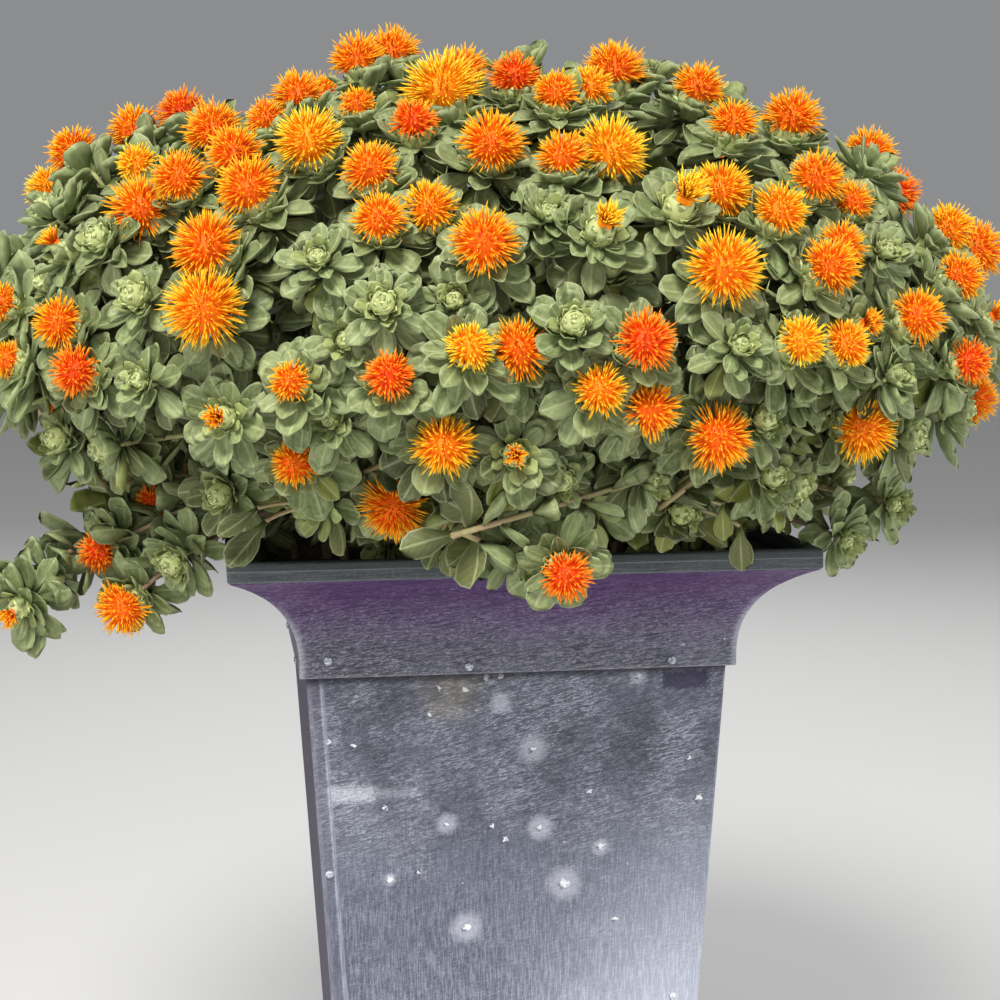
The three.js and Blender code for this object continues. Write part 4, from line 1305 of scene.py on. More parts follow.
# Blooms
TUFT_FULLNESS = 1.02
HALF_OPEN_RADIUS = 8.5
TUFT_TO_BALL = (0.42, 3.2)
BALL_BELOW_TUFT = 0.85
LEAVES_BELOW_BALL = 1.4
BACK_BLOOM_LEAF = BACK_LEAF_REACH * 0.86
USUAL_TUFT = 15
FLORET_SHARES = (0.3, 1.5)
FLORET_LOOSENESS = 0.15
HUE_RANGE = (0.02, 0.98)
HUE_SPREAD = 0.14
# Tufts, open and half-open: share of florets, lowest rise, size, where florets start, and dome
OPEN_TUFT = (1, -0.2, 1, 0.3, 0.64)
HALF_OPEN_TUFT = (0.6, 0.76, 1.3, 0.2, 0.3)

# Rosettes. Where the ball of bracts shows, its size and tilt differ from those of a closed one
SHOWING_SHARE = 0.6
SHOWING_BALL = (0.15, 2.5, 0.95)
CLOSED_BALL = (0.09, 0, 1.2)
SMALLEST_BALL = 2.4
ADDED_ROSETTE_SIZE = 0.72
FRONT_ROWS = -40
SPRIG_BALL = 3.2

# Low heads turned towards the picture, and leaves along stems and at forks
FACED_BELOW = 535
LEAST_FACING = 0.6
SIDE_LEAF_SPACING = 8
STEM_LEAVES = (42, 32)
TWIG_LEAVES = (34, 25)
INNER_LEAVES = 6
INNER_LEAF = 48
INNER_REACH = 45
STEM_POINTS = 9
TWIG_POINTS = 6
TWIG_ARCH = 0.07


def clear_of_rim(points):
    """Whether every point stays clear of the lip, the collar and the soil."""
    for x, y, z in points:
        out = max(abs(x), abs(y))
        if z < RIM_TOP + RIM_ROOM and RIM_HALF - WALL_ROOM < out < RIM_HALF + RIM_ROOM:
            return False
        if z < SOIL_TOP + RIM_ROOM and out <= RIM_HALF - WALL_ROOM:
            return False
    return True


def face_picture(head):
    """Turns a low head's front towards the picture, as the trailing heads hang."""
    to_eye = unit(EYE - head.at)
    lacking = LEAST_FACING - head.axis @ to_eye
    if lacking > 0:
        head.axis = unit(head.axis + to_eye * lacking * 1.3)


def around(directions, azimuth):
    """The direction at an azimuth between two that are square to each other."""
    east, north = directions
    return east * math.cos(azimuth) + north * math.sin(azimuth)


def tilted(axis, outward, tilt):
    """A direction raised from outward towards an axis, and the one square to it."""
    along = axis * math.sin(tilt) + outward * math.cos(tilt)
    return along, axis * math.cos(tilt) - outward * math.sin(tilt)


class Grower:
    """Dresses stems with leaves, bracts and florets. Each of its plantings becomes part of a piece."""

    def __init__(self, shapes, settings, seed):
        self.settings, self.draw = settings, Draws(seed)
        self.leaves = {kind: [Planting(shape) for shape in shapes[kind]] for kind in ("large", "small")}
        self.bract, self.ball = Planting(shapes["bract"]), Planting(shapes["ball"])
        self.threads = [FloretPlanting(shape) for shape in shapes["threads"]]
        self.dome = FloretPlanting(shapes["dome"])
        self.lines = []

    def between(self, low, high):
        return low + (high - low) * self.draw()

    def column(self):
        return int(self.draw() * CELLS)

    def leaf(self, kind, along, upper, length, at, row, checked=True):
        """One leaf, shortened where the rim is in its way."""
        along = unit(along)
        column = self.column()
        planting = self.leaves[kind][int(self.draw() * len(self.leaves[kind]))]
        width = self.between(0.88, 1.14)
        for shrink in SHRINKS:
            size = length * shrink
            lift = unit(upper) * size * LEAF_LIFT
            path = [at + along * size * share + lift * share for share in LEAF_SHARES]
            if not checked or clear_of_rim(path):
                depth = size * self.between(0.6, 1.25)
                planting.add(along, upper, size, size * width, at, column, row, depth)
                return

    def whorl(self, head, kind, count, turn, tilt, length, drop, row, out=TWIG_ROOM, loose=LOOSENESS):
        """A ring of leaves round a head. Low leaves are old ones, except on trailing heads."""
        young, old = OLD_LEAF_HEIGHTS
        ageing = 0 if head.trails else (young - head.at[2]) / (young - old)
        row = LEAF_ROW if head.trails and row == OLD_ROW else row
        level = head_frame(head.axis)
        for index in range(count):
            azimuth = head.turn + turn + index * 2 * math.pi / count + self.between(-loose, loose)
            outward = around(level, azimuth)
            along, upper = tilted(head.axis, outward, tilt + self.between(-loose, loose))
            at = head.at - head.axis * drop + outward * out
            size, aged = length * self.between(0.84, 1.06), row == LEAF_ROW and self.draw() < ageing
            self.leaf(kind, along, upper, size, at, OLD_ROW if aged else row)

    def whorls(self, head, length, drop, ball):
        for kind, count, turn, tilt, share, below, row, off in WHORLS[head.kind]:
            out = ball * off if off else TWIG_ROOM
            self.whorl(head, kind, count, turn, tilt, length * share, drop + below, row, out)

    def bracts(self, head, centre, radius, reach=1.0):
        """The ball under a tuft, with its bracts laid over each other like tiles."""
        level = head_frame(head.axis)
        self.ball.add(level[1], head.axis, radius, radius, centre, self.column(), BRACT_ROW, radius * 1.08)
        count = self.settings.bracts
        for index in range(count):
            share = (index + 0.5) / count
            outward = around(level, head.turn + index * GOLDEN_ANGLE)
            normal, upward = tilted(head.axis, outward, -0.75 + 1.75 * share)
            foot = centre + normal * radius * 0.93 - upward * radius * 0.25
            along = upward * 0.94 + normal * (0.3 - 0.18 * share) * reach
            length = radius * self.between(0.92, 1.1)
            self.bract.add(along, normal, length, length * 1.05, foot, self.column(), BRACT_ROW)

    def tuft(self, head, radius, half_open):
        """Threads that stand out all round, over a dome of short ones."""
        east, north = head_frame(head.axis)
        number, lowest, swell, start, dome = HALF_OPEN_TUFT if half_open else OPEN_TUFT
        fewest, most = FLORET_SHARES
        full = self.settings.florets * min(most, max(fewest, (radius / USUAL_TUFT) ** 1.3))
        count = int(full * number)
        radius = radius * swell
        for index in range(count):
            rise = 1 - (1 - lowest) * (index + 0.5) / count
            outward = around((east, north), index * GOLDEN_ANGLE + head.turn)
            stand = head.axis * rise + outward * math.sqrt(max(0, 1 - rise * rise))
            jitter = np.array([self.between(-1, 1) for _ in range(3)]) * FLORET_LOOSENESS
            along = unit(stand + jitter)
            side = unit(np.cross(along, unit(jitter + outward * 0.01 + head.axis * 0.013)))
            length = radius * (self.between(0.62, 0.84) + (0.18 if self.draw() < 0.25 else 0))
            width = self.settings.floret_radius / MM * self.between(0.85, 1.2)
            thread = self.threads[int(self.draw() * len(self.threads))]
            hue = min(HUE_RANGE[1], max(HUE_RANGE[0], head.hue + self.between(-HUE_SPREAD, HUE_SPREAD)))
            across = np.cross(along, side)
            thread.put(side * width, across * width, along * length, head.at + stand * radius * start, hue)
        size = radius * dome
        self.dome.put(east * size, north * size, head.axis * size, head.at, head.hue)

    def dress_bloom(self, head):
        radius = max(head.reach, SMALLEST_TUFT) * TUFT_FULLNESS
        share, least = TUFT_TO_BALL
        ball = share * radius + least
        seen_leaf = max(SHORTEST_BLOOM_LEAF, head.reach + LEAF_PAST_TUFT)
        self.bracts(head, head.at - head.axis * ball * BALL_BELOW_TUFT, ball)
        self.tuft(head, radius, head.half_open or radius < HALF_OPEN_RADIUS)
        self.whorls(head, seen_leaf if head.seen else BACK_BLOOM_LEAF, ball * LEAVES_BELOW_BALL, ball)

    def dress_rosette(self, head):
        reach = max(head.reach, SHORTEST_LEAF) * (LEAF_OVERREACH if head.seen else 1)
        if not head.seen and head.at[1] < FRONT_ROWS:
            reach *= ADDED_ROSETTE_SIZE
        share, above, tilt = SHOWING_BALL if self.draw() < SHOWING_SHARE else CLOSED_BALL
        ball = share * reach + SMALLEST_BALL
        self.bracts(head, head.at + head.axis * above, ball, 1.4)
        drop = 0.7 * ball
        self.whorl(head, "small", 7, 0.4, tilt, reach * 0.38, drop, YOUNG_ROW, ball * 0.85, 0.1)
        self.whorls(head, reach, drop, ball)

    def dress_sprig(self, head):
        self.bracts(head, head.at, SPRIG_BALL, 2)
        self.whorls(head, max(head.reach, SHORTEST_LEAF) * LEAF_OVERREACH, 0, 0)

    def side_leaves(self, path, length, row, first, last):
        """Leaves that stand off a stem in turn, all the way along it."""
        path = np.array(path)
        steps = np.linalg.norm(np.diff(path, axis=0), axis=1)
        reach = np.concatenate(((0,), np.cumsum(steps)))
        count = int(reach[-1] * (last - first) / SIDE_LEAF_SPACING)
        azimuth = self.between(0, 2 * math.pi)
        for index in range(count):
            place = reach[-1] * (first + (last - first) * (index + 0.5) / count)
            at = np.array([np.interp(place, reach, path[:, way]) for way in range(3)])
            step = min(int(np.searchsorted(reach, place)), len(steps)) - 1
            along = unit(path[step + 1] - path[step])
            azimuth += GOLDEN_ANGLE
            way = unit(along * 0.55 + around(head_frame(along), azimuth) + UP * 0.15)
            size = length * self.between(0.75, 1.15)
            self.leaf("small", way, along - way * (along @ way), size, at, row)

    def inner_leaves(self, fork):
        """Leaves round a fork, which close the mound's inside."""
        for index in range(INNER_LEAVES):
            azimuth = index * GOLDEN_ANGLE
            outward = np.array((math.cos(azimuth), math.sin(azimuth), 0.35 - 0.14 * index))
            self.leaf("small", outward, UP, INNER_LEAF, fork, OLD_ROW)

    def grow(self, stem):
        """The main stem, a twig to each head, their leaves and the heads themselves."""
        stem_radius, twig_radius = self.settings.stem_radius / MM, self.settings.twig_radius / MM
        shares = np.linspace(0, 1, STEM_POINTS)
        main = [bezier(stem.neck, stem.bend, stem.fork, share) for share in shares]
        radii = [stem_radius] + [stem_radius * (1 - 0.25 * share) for share in shares]
        self.lines.append(([stem.root - UP * (ROOT_DEPTH - 1), *main], radii))
        at_back = stem.fork[1] > -INNER_REACH
        if at_back and stem.fork[2] > RIM_TOP + INNER_REACH:
            self.inner_leaves(stem.fork)
        stem_leaf, twig_leaf = (lengths[0 if at_back else 1] for lengths in (STEM_LEAVES, TWIG_LEAVES))
        self.side_leaves(main, stem_leaf, OLD_ROW, 0.16, 0.98)
        shares = np.linspace(0, 1, TWIG_POINTS)
        for head, start in stem.twigs:
            if head.seen and head.at[2] < FACED_BELOW:
                face_picture(head)
            way = head.at - start
            arch = unit(stem.fork - stem.bends[1]) * np.linalg.norm(way) * TWIG_ARCH
            middle, end = start + way * 0.5 + arch, head.at - head.axis * 3
            twig = [bezier(start, middle, end, share) for share in shares]
            self.lines.append((twig, [twig_radius * (1.25 - 0.25 * share) for share in shares]))
            self.side_leaves(twig, twig_leaf, LEAF_ROW if self.draw() < 0.6 else OLD_ROW, 0.1, 0.85)
            getattr(self, f"dress_{head.kind}")(head)

    def hang(self, head, foot, tip):
        """A leaf on a stalk of its own that hangs down from a head in front of the rim."""
        start = head.at - head.axis * 4
        middle = (start + foot) / 2 + UP * HANGING_ARCH
        stalk = [bezier(start, middle, foot, share) for share in np.linspace(0, 1, TWIG_POINTS)]
        self.lines.append((stalk, [self.settings.twig_radius / MM * 0.75] * len(stalk)))
        length = np.linalg.norm(tip - foot)
        self.leaf("large", tip - foot, unit(EYE - foot) + UP * 0.3, length, foot, OLD_ROW, False)


# How far stalks reach sideways and up, for their place in the UV map's row of stems
STALKS_ACROSS = (-330, 330)
STALKS_UP = (450, 740)


def tubes(name, lines, finish):
    """Round stems along lines of points, with a radius at each point."""
    deselect()
    curve = bpy.data.curves.new(name, "CURVE")
    curve.dimensions = "3D"
    curve.bevel_depth = MM
    curve.bevel_resolution = 1
    curve.use_fill_caps = True
    for points, radii in lines:
        spline = curve.splines.new("POLY")
        spline.points.add(len(points) - 1)
        places = np.column_stack((np.array(points) * MM, np.ones(len(points))))
        spline.points.foreach_set("co", places.ravel())
        spline.points.foreach_set("radius", np.array(radii, float))
    obj = bpy.data.objects.new(name, curve)
    bpy.context.scene.collection.objects.link(obj)
    make_active(obj)
    bpy.ops.object.convert(target="MESH")
    obj = bpy.context.object
    mesh = obj.data
    mesh.polygons.foreach_set("use_smooth", np.ones(len(mesh.polygons), bool))
    corners = np.empty(len(mesh.loops), int)
    mesh.loops.foreach_get("vertex_index", corners)
    points = points_of(obj)[corners] / MM
    for layer in list(mesh.uv_layers):
        mesh.uv_layers.remove(layer)
    layer = mesh.uv_layers.new(name=UV_MAP)
    across = np.interp(points[:, 0], STALKS_ACROSS, (0, 1))
    share = np.interp(points[:, 2], STALKS_UP, (0, 1))
    rows = (STEM_ROW + CELL_MARGIN + (1 - 2 * CELL_MARGIN) * share) / CELLS
    layer.uv.foreach_set("vector", np.column_stack((across, rows)).astype(np.float32).ravel())
    mesh.materials.clear()
    mesh.materials.append(finish)
    return obj


# The planter's pieces

# Cuts in each edge of the body and of the soil's top, and the folds' segments
BODY_CUTS = 15
SOIL_CUTS = 70
FOLD_SEGMENTS = 3
FLAT_MARGIN = 30
BODY_WAVES = ((0.021, 0.017, 0.013), (-0.013, 0.024, 0.031), (0.037, -0.011, -0.019))
SOIL_WAVES = ((0.31, 0.17, 0), (-0.23, 0.41, 0), (0.53, -0.37, 0), (0.11, 0.71, 0), (0.83, 0.29, 0))
SEAM_ROUNDING = 0.45
COLLAR_ROUNDING = 0.7
COLLAR_SHEET = SHEET - 0.2
SHARP_ANGLE = math.radians(50)
CORNER_REACH = 0.2
SOIL_INSET = SHEET + 2 * CLEARANCE
SOIL_BOTTOM = 5
SOIL_EDGE = 22

# Rivets: column and row on the collar's front, and heights down the seam
COLLAR_RIVETS = ((328, 661), (469, 667), (672, 660))
SEAM_RIVET_HEIGHTS = (46, 176, 306)
LOWEST_RIVET = COLLAR_FOOT + 4
RIVET_SINK = 0.1


def cove_profile(inset):
    """Half width and height up the collar, moved in by an inset: a straight band, then a hollow curve."""
    foot_half = COLLAR_FOOT_WIDTH / 2
    start = np.array((foot_half, COLLAR_FOOT + COLLAR_BAND))
    bend = np.array((foot_half, LIP_BOTTOM - COVE_BEND))
    end = np.array((RIM_HALF - 1, LIP_BOTTOM - CLEARANCE))
    profile = [(foot_half - inset, COLLAR_FOOT)]
    for step in range(COVE_STEPS + 1):
        share = step / COVE_STEPS
        point = bezier(start, bend, end, share)
        along = unit((bend - start) * (1 - share) + (end - bend) * share)
        half, height = point[0] - inset * along[1], point[1] + inset * along[0]
        if height >= end[1]:
            last_half, last_height = profile[-1]
            part = (end[1] - last_height) / (height - last_height)
            profile.append((last_half + (half - last_half) * part, end[1]))
            break
        profile.append((half, height))
    return profile


def square_plate(half, height):
    deselect()
    bpy.ops.mesh.primitive_plane_add(size=2 * half * MM, location=(0, 0, height * MM))
    plate = bpy.context.object
    make_active(plate)
    bpy.ops.object.transform_apply(location=True)
    return plate


def square_tower(profile):
    """A square block drawn up level by level, closed at both ends."""
    (half, height), *levels = profile
    tower = square_plate(half, height)
    pick(tower, "FACE", everything)
    for next_half, next_height in levels:
        bpy.ops.mesh.extrude_region_move(
            TRANSFORM_OT_translate={"value": (0, 0, (next_height - height) * MM)}
        )
        ratio = next_half / half
        bpy.ops.transform.resize(value=(ratio, ratio, 1), center_override=(0, 0, next_height * MM))
        half, height = next_half, next_height
    finish_edit()
    outward(tower)
    return tower


def dent(body, depth):
    """Presses slow, shallow dents into the body's sheet, but not at its edges and foot."""
    points = points_of(body)
    reach = np.array([body_half(z / MM) * MM for z in points[:, 2]])
    from_edge = reach - np.sort(abs(points[:, :2]), axis=1)[:, 0]
    inner = (from_edge / (FLAT_MARGIN * MM)).clip(0, 1)
    wide = abs(points[:, 0]) > abs(points[:, 1])
    way = np.zeros_like(points)
    way[wide, 0] = -np.sign(points[wide, 0])
    way[~wide, 1] = -np.sign(points[~wide, 1])
    way[points[:, 2] < 1 * MM] = 0
    set_points(body, points + way * abs(swing(points, BODY_WAVES) * depth * inner)[:, None])


def is_fold(middle, along):
    """Whether an edge of the body is one of its upright corners or runs round its foot."""
    x, y, z = abs(middle.x), abs(middle.y), middle.z
    reach = body_half(z / MM) * MM
    on_corner = max(abs(x - reach), abs(y - reach)) < CORNER_REACH * MM and abs(along.z) > 0.9
    at_foot = z < 0.1 * MM and max(x, y) > (body_half(0) - CORNER_REACH) * MM
    return on_corner or (at_foot and max(abs(along.x), abs(along.y)) > 0.9)


def lap_seam():
    """The lapped strip beside the body's front left edge."""
    deselect()
    bpy.ops.mesh.primitive_cube_add(size=1)
    seam = bpy.context.object
    placed = []
    for x, y, z in points_of(seam):
        height = COLLAR_FOOT - CLEARANCE if z > 0 else 1
        half = body_half(height)
        outer = -half - SEAM_RISE
        placed.append((SEAM_WIDTH - half if x > 0 else outer, SHEET / 2 - half if y > 0 else outer, height))
    set_points(seam, np.array(placed) * MM)
    outward(seam)
    apply_modifier(seam, "BEVEL", width=SEAM_ROUNDING * MM, segments=2, limit_method="ANGLE")
    return seam


def round_sharp_edges(obj, radius, segments):
    apply_modifier(
        obj, "BEVEL", width=radius, segments=segments, limit_method="ANGLE", angle_limit=SHARP_ANGLE
    )


class SAFFLOWER_OT_body(bpy.types.Operator):
    """Add the tapered zinc body with its folded edges, slow dents and lapped seam"""

    bl_idname = "safflower.body"
    bl_label = "Planter body"

    def execute(self, context):
        settings = context.scene.planter_settings
        top = COLLAR_FOOT + BODY_OVERLAP
        body = square_tower([(body_half(0), 0), (body_half(top), top)])
        pick(body, "FACE", lambda middle, normal: normal.z > 0.9)
        bpy.ops.mesh.delete(type="ONLY_FACE")
        bpy.ops.mesh.select_all(action="SELECT")
        bpy.ops.mesh.subdivide(number_cuts=BODY_CUTS)
        finish_edit()
        dent(body, settings.dent_depth)
        pick(body, "EDGE", is_fold)
        bpy.ops.mesh.bevel(offset=settings.edge_radius, segments=FOLD_SEGMENTS, affect="EDGES")
        finish_edit()
        apply_modifier(body, "SOLIDIFY", thickness=SHEET * MM, offset=-1, use_even_offset=True)
        body = join(body, lap_seam())
        smooth_by_angle(body, 35)
        place(body, "zinc_body", "planter_zinc", zinc_finish(settings), ("planter_body",))
        return {"FINISHED"}


class SAFFLOWER_OT_collar(bpy.types.Operator):
    """Add the coved collar that flares out to the rim"""

    bl_idname = "safflower.collar"
    bl_label = "Planter collar"

    def execute(self, context):
        collar = square_tower(cove_profile(0))
        pick(collar, "FACE", lambda middle, normal: abs(normal.z) > 0.99 and (
            middle.z < (COLLAR_FOOT + 1) * MM or middle.z > (LIP_BOTTOM - 1) * MM))
        bpy.ops.mesh.delete(type="ONLY_FACE")
        finish_edit()
        apply_modifier(collar, "SOLIDIFY", thickness=COLLAR_SHEET * MM, offset=-1, use_even_offset=True)
        round_sharp_edges(collar, COLLAR_ROUNDING * MM, 2)
        smooth_by_angle(collar, 35)
        finish = collar_finish(context.scene.planter_settings)
        place(collar, "zinc_collar", "collar_zinc", finish, ("planter_collar",))
        return {"FINISHED"}


class SAFFLOWER_OT_lip(bpy.types.Operator):
    """Add the dark folded strip round the top of the collar"""

    bl_idname = "safflower.lip"
    bl_label = "Rim lip"

    def execute(self, context):
        settings = context.scene.planter_settings
        lip = square_plate(RIM_HALF, LIP_BOTTOM)
        pick(lip, "FACE", everything)
        bpy.ops.mesh.inset(thickness=LIP_THICKNESS * MM)
        bpy.ops.mesh.delete(type="FACE")
        bpy.ops.mesh.select_all(action="SELECT")
        rise = (0, 0, (LIP_HEIGHT + LIP_ROLL) * MM)
        bpy.ops.mesh.extrude_region_move(TRANSFORM_OT_translate={"value": rise})
        finish_edit()
        outward(lip)
        round_sharp_edges(lip, settings.lip_rounding, 3)
        smooth_by_angle(lip, 40)
        place(lip, "zinc_rim_lip", "rim_zinc", lip_finish(settings), ("rim_lip",))
        return {"FINISHED"}


def rivet_model(radius):
    """A low round head with a flat foot, facing the front."""
    deselect()
    bpy.ops.mesh.primitive_uv_sphere_add(segments=14, ring_count=8, radius=radius)
    model = bpy.context.object
    pick(model, "FACE", lambda middle, normal: middle.z < 0)
    bpy.ops.mesh.delete(type="FACE")
    bpy.ops.mesh.select_all(action="SELECT")
    bpy.ops.transform.resize(value=(1, 1, 0.5))
    finish_edit()
    pick(model, "EDGE", lambda middle, along: middle.z < 1e-5)
    bpy.ops.mesh.edge_face_add()
    finish_edit()
    outward(model)
    model.data.transform(Matrix.Rotation(math.radians(90), 4, "X"))
    return model


def rivet_places():
    """The seen rivets of the collar on all four of its sides, and those of the seam."""
    front = COLLAR_FOOT_WIDTH / 2
    places = []
    for column, row in COLLAR_RIVETS:
        x, z = on_plane(column, row, front)
        at = Vector((x, RIVET_SINK - front, max(z, LOWEST_RIVET))) * MM
        for quarter in range(4):
            spin = Matrix.Rotation(math.radians(90 * quarter), 4, "Z")
            places.append(spin @ Matrix.Translation(at))
    for height in SEAM_RIVET_HEIGHTS:
        half = body_half(height)
        at = Vector((SEAM_WIDTH / 2 - half, RIVET_SINK - half - SEAM_RISE, height)) * MM
        places.append(Matrix.Translation(at))
    return places


class SAFFLOWER_OT_rivets(bpy.types.Operator):
    """Add the rivets of the collar's foot and of the seam"""

    bl_idname = "safflower.rivets"
    bl_label = "Rivets"

    def execute(self, context):
        settings = context.scene.planter_settings
        model = rivet_model(settings.rivet_radius)
        rivets = []
        for matrix in rivet_places():
            rivet = model.copy()
            rivet.data = model.data.copy()
            rivet.data.transform(matrix)
            context.scene.collection.objects.link(rivet)
            rivets.append(rivet)
        bpy.data.objects.remove(model)
        rivets = join(*rivets)
        smooth_by_angle(rivets, 60)
        place(rivets, "zinc_rivets", "planter_zinc", rivet_finish(settings))
        return {"FINISHED"}


def soil_profile():
    """Half width and height up the soil, which stays clear of the body's and the collar's inside."""
    body_top = COLLAR_FOOT + BODY_OVERLAP + 2 * CLEARANCE
    cove = cove_profile(SOIL_INSET)
    halves, heights = zip(*cove)
    foot_half, top_half = (float(np.interp(level, heights, halves)) for level in (body_top, SOIL_TOP))
    return [
        (body_half(SOIL_BOTTOM) - SOIL_INSET, SOIL_BOTTOM),
        (body_half(body_top) - SOIL_INSET, body_top),
        (foot_half, body_top + CLEARANCE),
        *((half, height) for half, height in cove if body_top < height < SOIL_TOP),
        (top_half, SOIL_TOP),
    ]


class SAFFLOWER_OT_soil(bpy.types.Operator):
    """Add the potting soil with its crumbly top"""

    bl_idname = "safflower.soil"
    bl_label = "Potting soil"

    def execute(self, context):
        settings = context.scene.planter_settings
        soil = square_tower(soil_profile())
        pick(soil, "FACE", lambda middle, normal: middle.z > (SOIL_TOP - 0.5) * MM and normal.z > 0.9)
        bpy.ops.mesh.subdivide(number_cuts=SOIL_CUTS)
        finish_edit()
        points = points_of(soil)
        on_top = points[:, 2] > (SOIL_TOP - 0.2) * MM
        inner = abs(points[:, :2]).max(1) / MM <= RIM_HALF - SOIL_EDGE
        crumbs = (0.5 + 0.5 * swing(points, SOIL_WAVES)) * settings.crumb_height
        points[:, 2] += on_top * inner * crumbs
        set_points(soil, points)
        smooth_by_angle(soil, 50)
        place(soil, "crumbly_soil", "soil", soil_finish(settings), ("soil",))
        return {"FINISHED"}


GROWTH_SEED, GROWTH_SEED_STEP = 4099, 17


def hanging_leaves(heads):
    """The leaves over the front rim: the nearest head, foot and tip of each."""
    leaves = []
    for foot_column, foot_row, tip_column, tip_row, front in HANGING_LEAVES:
        foot, tip = on_front(foot_column, foot_row, front), on_front(tip_column, tip_row, front + 2)
        leaves.append((min(heads, key=lambda head: np.linalg.norm(head.at - foot)), foot, tip))
    return leaves


class SAFFLOWER_OT_plants(bpy.types.Operator):
    """Add the stems with their leaves, balls of bracts and orange tufts"""

    bl_idname = "safflower.plants"
    bl_label = "Safflower"

    def execute(self, context):
        settings = context.scene.plant_settings
        stems = spread_stems(share_heads(place_heads()))
        hanging = hanging_leaves([head for stem in stems for head, _ in stem.twigs])
        shapes = model_shapes(settings)
        finishes = (leaf_finish(settings), stem_finish(settings), bract_finish(settings))
        floret = floret_finish(settings)
        for first in range(0, STEM_COUNT, STEMS_IN_PIECE):
            group = first // STEMS_IN_PIECE + 1
            grower = Grower(shapes, settings, GROWTH_SEED + GROWTH_SEED_STEP * group)
            for stem in stems[first:first + STEMS_IN_PIECE]:
                grower.grow(stem)
                for head, _ in stem.twigs:
                    for holder, foot, tip in hanging:
                        if holder is head:
                            grower.hang(head, foot, tip)
            large, small = grower.leaves["large"], grower.leaves["small"]
            name = f"leafy_stems_{group}"
            leafy = gather(name, (*large, *small, grower.bract, grower.ball), finishes)
            leafy = join(leafy, tubes(f"stalks_{group}", grower.lines, finishes[STEM_PART]))
            nodes = [f"flowering_stem_{index + 1:02d}" for index in range(first, first + STEMS_IN_PIECE)]
            place(leafy, name, "plant", None, nodes)
            tufts = gather(f"tufts_{group}", (*grower.threads, grower.dome), (floret,))
            place(tufts, f"orange_tufts_{group}", "plant", None, nodes)
        return {"FINISHED"}


FLOOR_SIZE = 40
FLOOR_DEPTH = 0.0002
AIM_AT = (0, 0, 0.45)
ROOM_COLOUR = (0.80, 0.81, 0.83)
ROOM_STRENGTH = 0.33
# Lights: place in metres, size in metres, power in watts and colour
LIGHTS = (
    ("key_light", (-0.7, -2.0, 2.7), 1.1, 106, (1.0, 0.97, 0.91)),
    ("low_light", (-0.5, -2.6, 0.5), 1.2, 9, (1.0, 0.98, 0.94)),
    ("right_light", (2.6, -0.9, 1.0), 1.6, 34, (1.0, 0.99, 0.96)),
    ("left_light", (-2.6, -0.8, 0.8), 1.6, 21, (1.0, 0.99, 0.96)),
    ("back_light", (0.4, 2.4, 2.2), 1.6, 26, (1.0, 1.0, 1.0)),
)


def add_floor():
    deselect()
    bpy.ops.mesh.primitive_plane_add(size=FLOOR_SIZE, location=(0, 0, -FLOOR_DEPTH))
    floor = bpy.context.object
    floor.name = "floor"
    finish = Finish("pale_floor", Roughness=0.8, Base_Color=colour(222, 222, 222))
    floor.data.materials.append(finish.material)


def add_light(scene):
    """An evenly lit room and the soft lights."""
    scene.world = bpy.data.worlds.new("soft_room")
    scene.world.use_nodes = True
    background = scene.world.node_tree.nodes["Background"]
    background.inputs["Color"].default_value = (*ROOM_COLOUR, 1)
    background.inputs["Strength"].default_value = ROOM_STRENGTH
    for name, location, size, power, tint in LIGHTS:
        lamp = bpy.data.lights.new(name, "AREA")
        lamp.shape, lamp.size, lamp.energy, lamp.color = "DISK", size, power, tint
        light = bpy.data.objects.new(name, lamp)
        light.location = location
        light.rotation_euler = (Vector(AIM_AT) - light.location).to_track_quat("-Z", "Y").to_euler()
        scene.collection.objects.link(light)


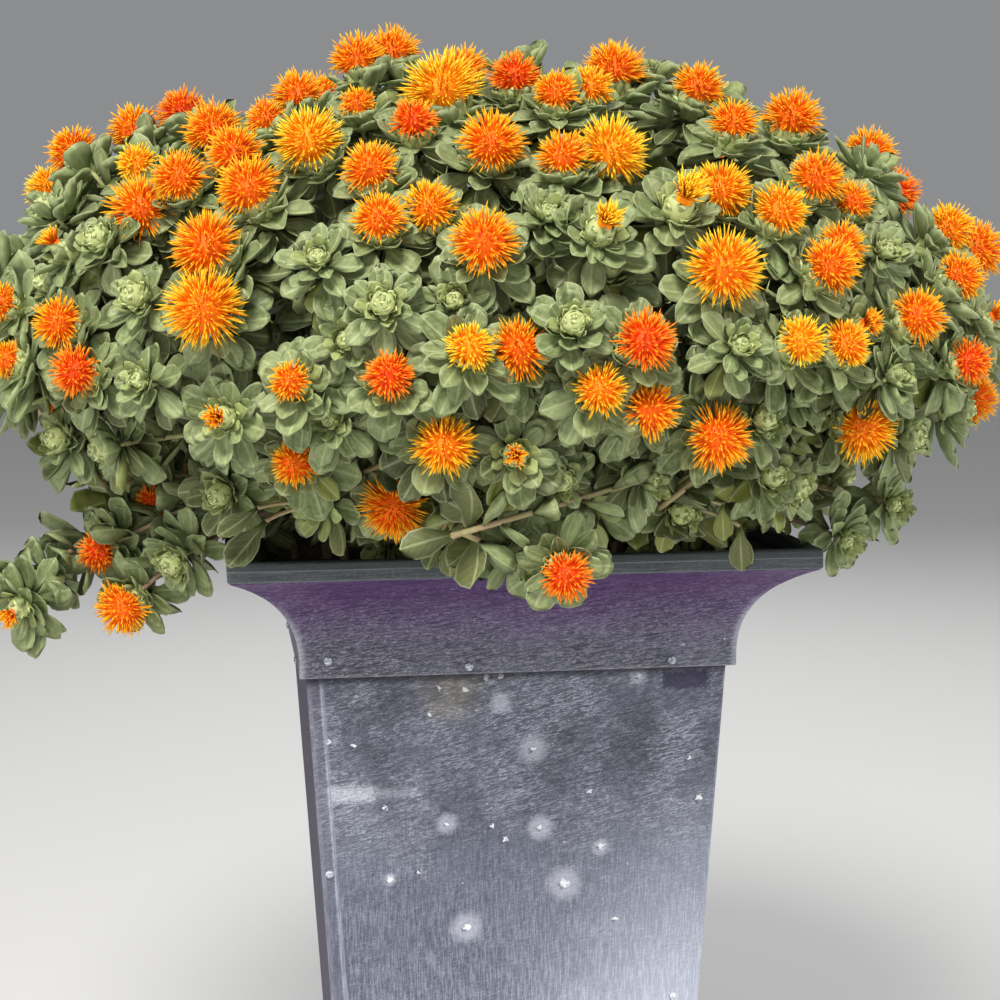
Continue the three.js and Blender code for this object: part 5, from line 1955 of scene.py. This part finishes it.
def add_camera(scene):
    """The camera at the viewing point that the heads were laid out from."""
    data = bpy.data.cameras.new("camera")
    data.sensor_width = SENSOR_WIDTH
    data.lens = SENSOR_WIDTH * FOCAL_PIXELS / PICTURE_WIDTH
    data.shift_x = (PICTURE_WIDTH / 2 - MIDDLE_COLUMN) / PICTURE_WIDTH
    data.shift_y = (MIDDLE_ROW - PICTURE_WIDTH / 2) / PICTURE_WIDTH
    data.clip_start, data.clip_end = 0.01, 100
    camera = bpy.data.objects.new("camera", data)
    matrix = Matrix((RIGHT, ABOVE, -FORWARD)).transposed().to_4x4()
    matrix.translation = Vector(EYE) * MM
    camera.matrix_world = matrix
    scene.collection.objects.link(camera)
    scene.camera = camera


class SAFFLOWER_OT_stage(bpy.types.Operator):
    """Add the pale floor, the soft lights and the camera"""

    bl_idname = "safflower.stage"
    bl_label = "Stage"

    def execute(self, context):
        add_floor()
        add_light(context.scene)
        add_camera(context.scene)
        context.scene.view_settings.view_transform = "Standard"
        return {"FINISHED"}


OPERATORS = (
    SAFFLOWER_OT_body, SAFFLOWER_OT_collar, SAFFLOWER_OT_lip, SAFFLOWER_OT_rivets, SAFFLOWER_OT_soil,
    SAFFLOWER_OT_plants, SAFFLOWER_OT_stage,
)


class SAFFLOWER_PT_panel(bpy.types.Panel):
    """Buttons and settings for the potted safflower"""

    bl_idname = "SAFFLOWER_PT_panel"
    bl_label = "Potted safflower"
    bl_space_type = "VIEW_3D"
    bl_region_type = "UI"
    bl_category = "Safflower"

    def draw(self, context):
        for operator in OPERATORS:
            self.layout.operator(operator.bl_idname)
        for settings in (context.scene.planter_settings, context.scene.plant_settings):
            box = self.layout.box()
            for name in settings.__annotations__:
                box.prop(settings, name)


CLASSES = (PlanterSettings, PlantSettings, *OPERATORS, SAFFLOWER_PT_panel)


def register():
    for each in CLASSES:
        bpy.utils.register_class(each)
    bpy.types.Scene.planter_settings = PointerProperty(type=PlanterSettings)
    bpy.types.Scene.plant_settings = PointerProperty(type=PlantSettings)


def unregister():
    del bpy.types.Scene.plant_settings
    del bpy.types.Scene.planter_settings
    for each in reversed(CLASSES):
        bpy.utils.unregister_class(each)


def main():
    register()
    bpy.ops.safflower.body()
    bpy.ops.safflower.collar()
    bpy.ops.safflower.lip()
    bpy.ops.safflower.rivets()
    bpy.ops.safflower.soil()
    bpy.ops.safflower.plants()
    bpy.ops.safflower.stage()
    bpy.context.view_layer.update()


if __name__ == "__main__":
    main()
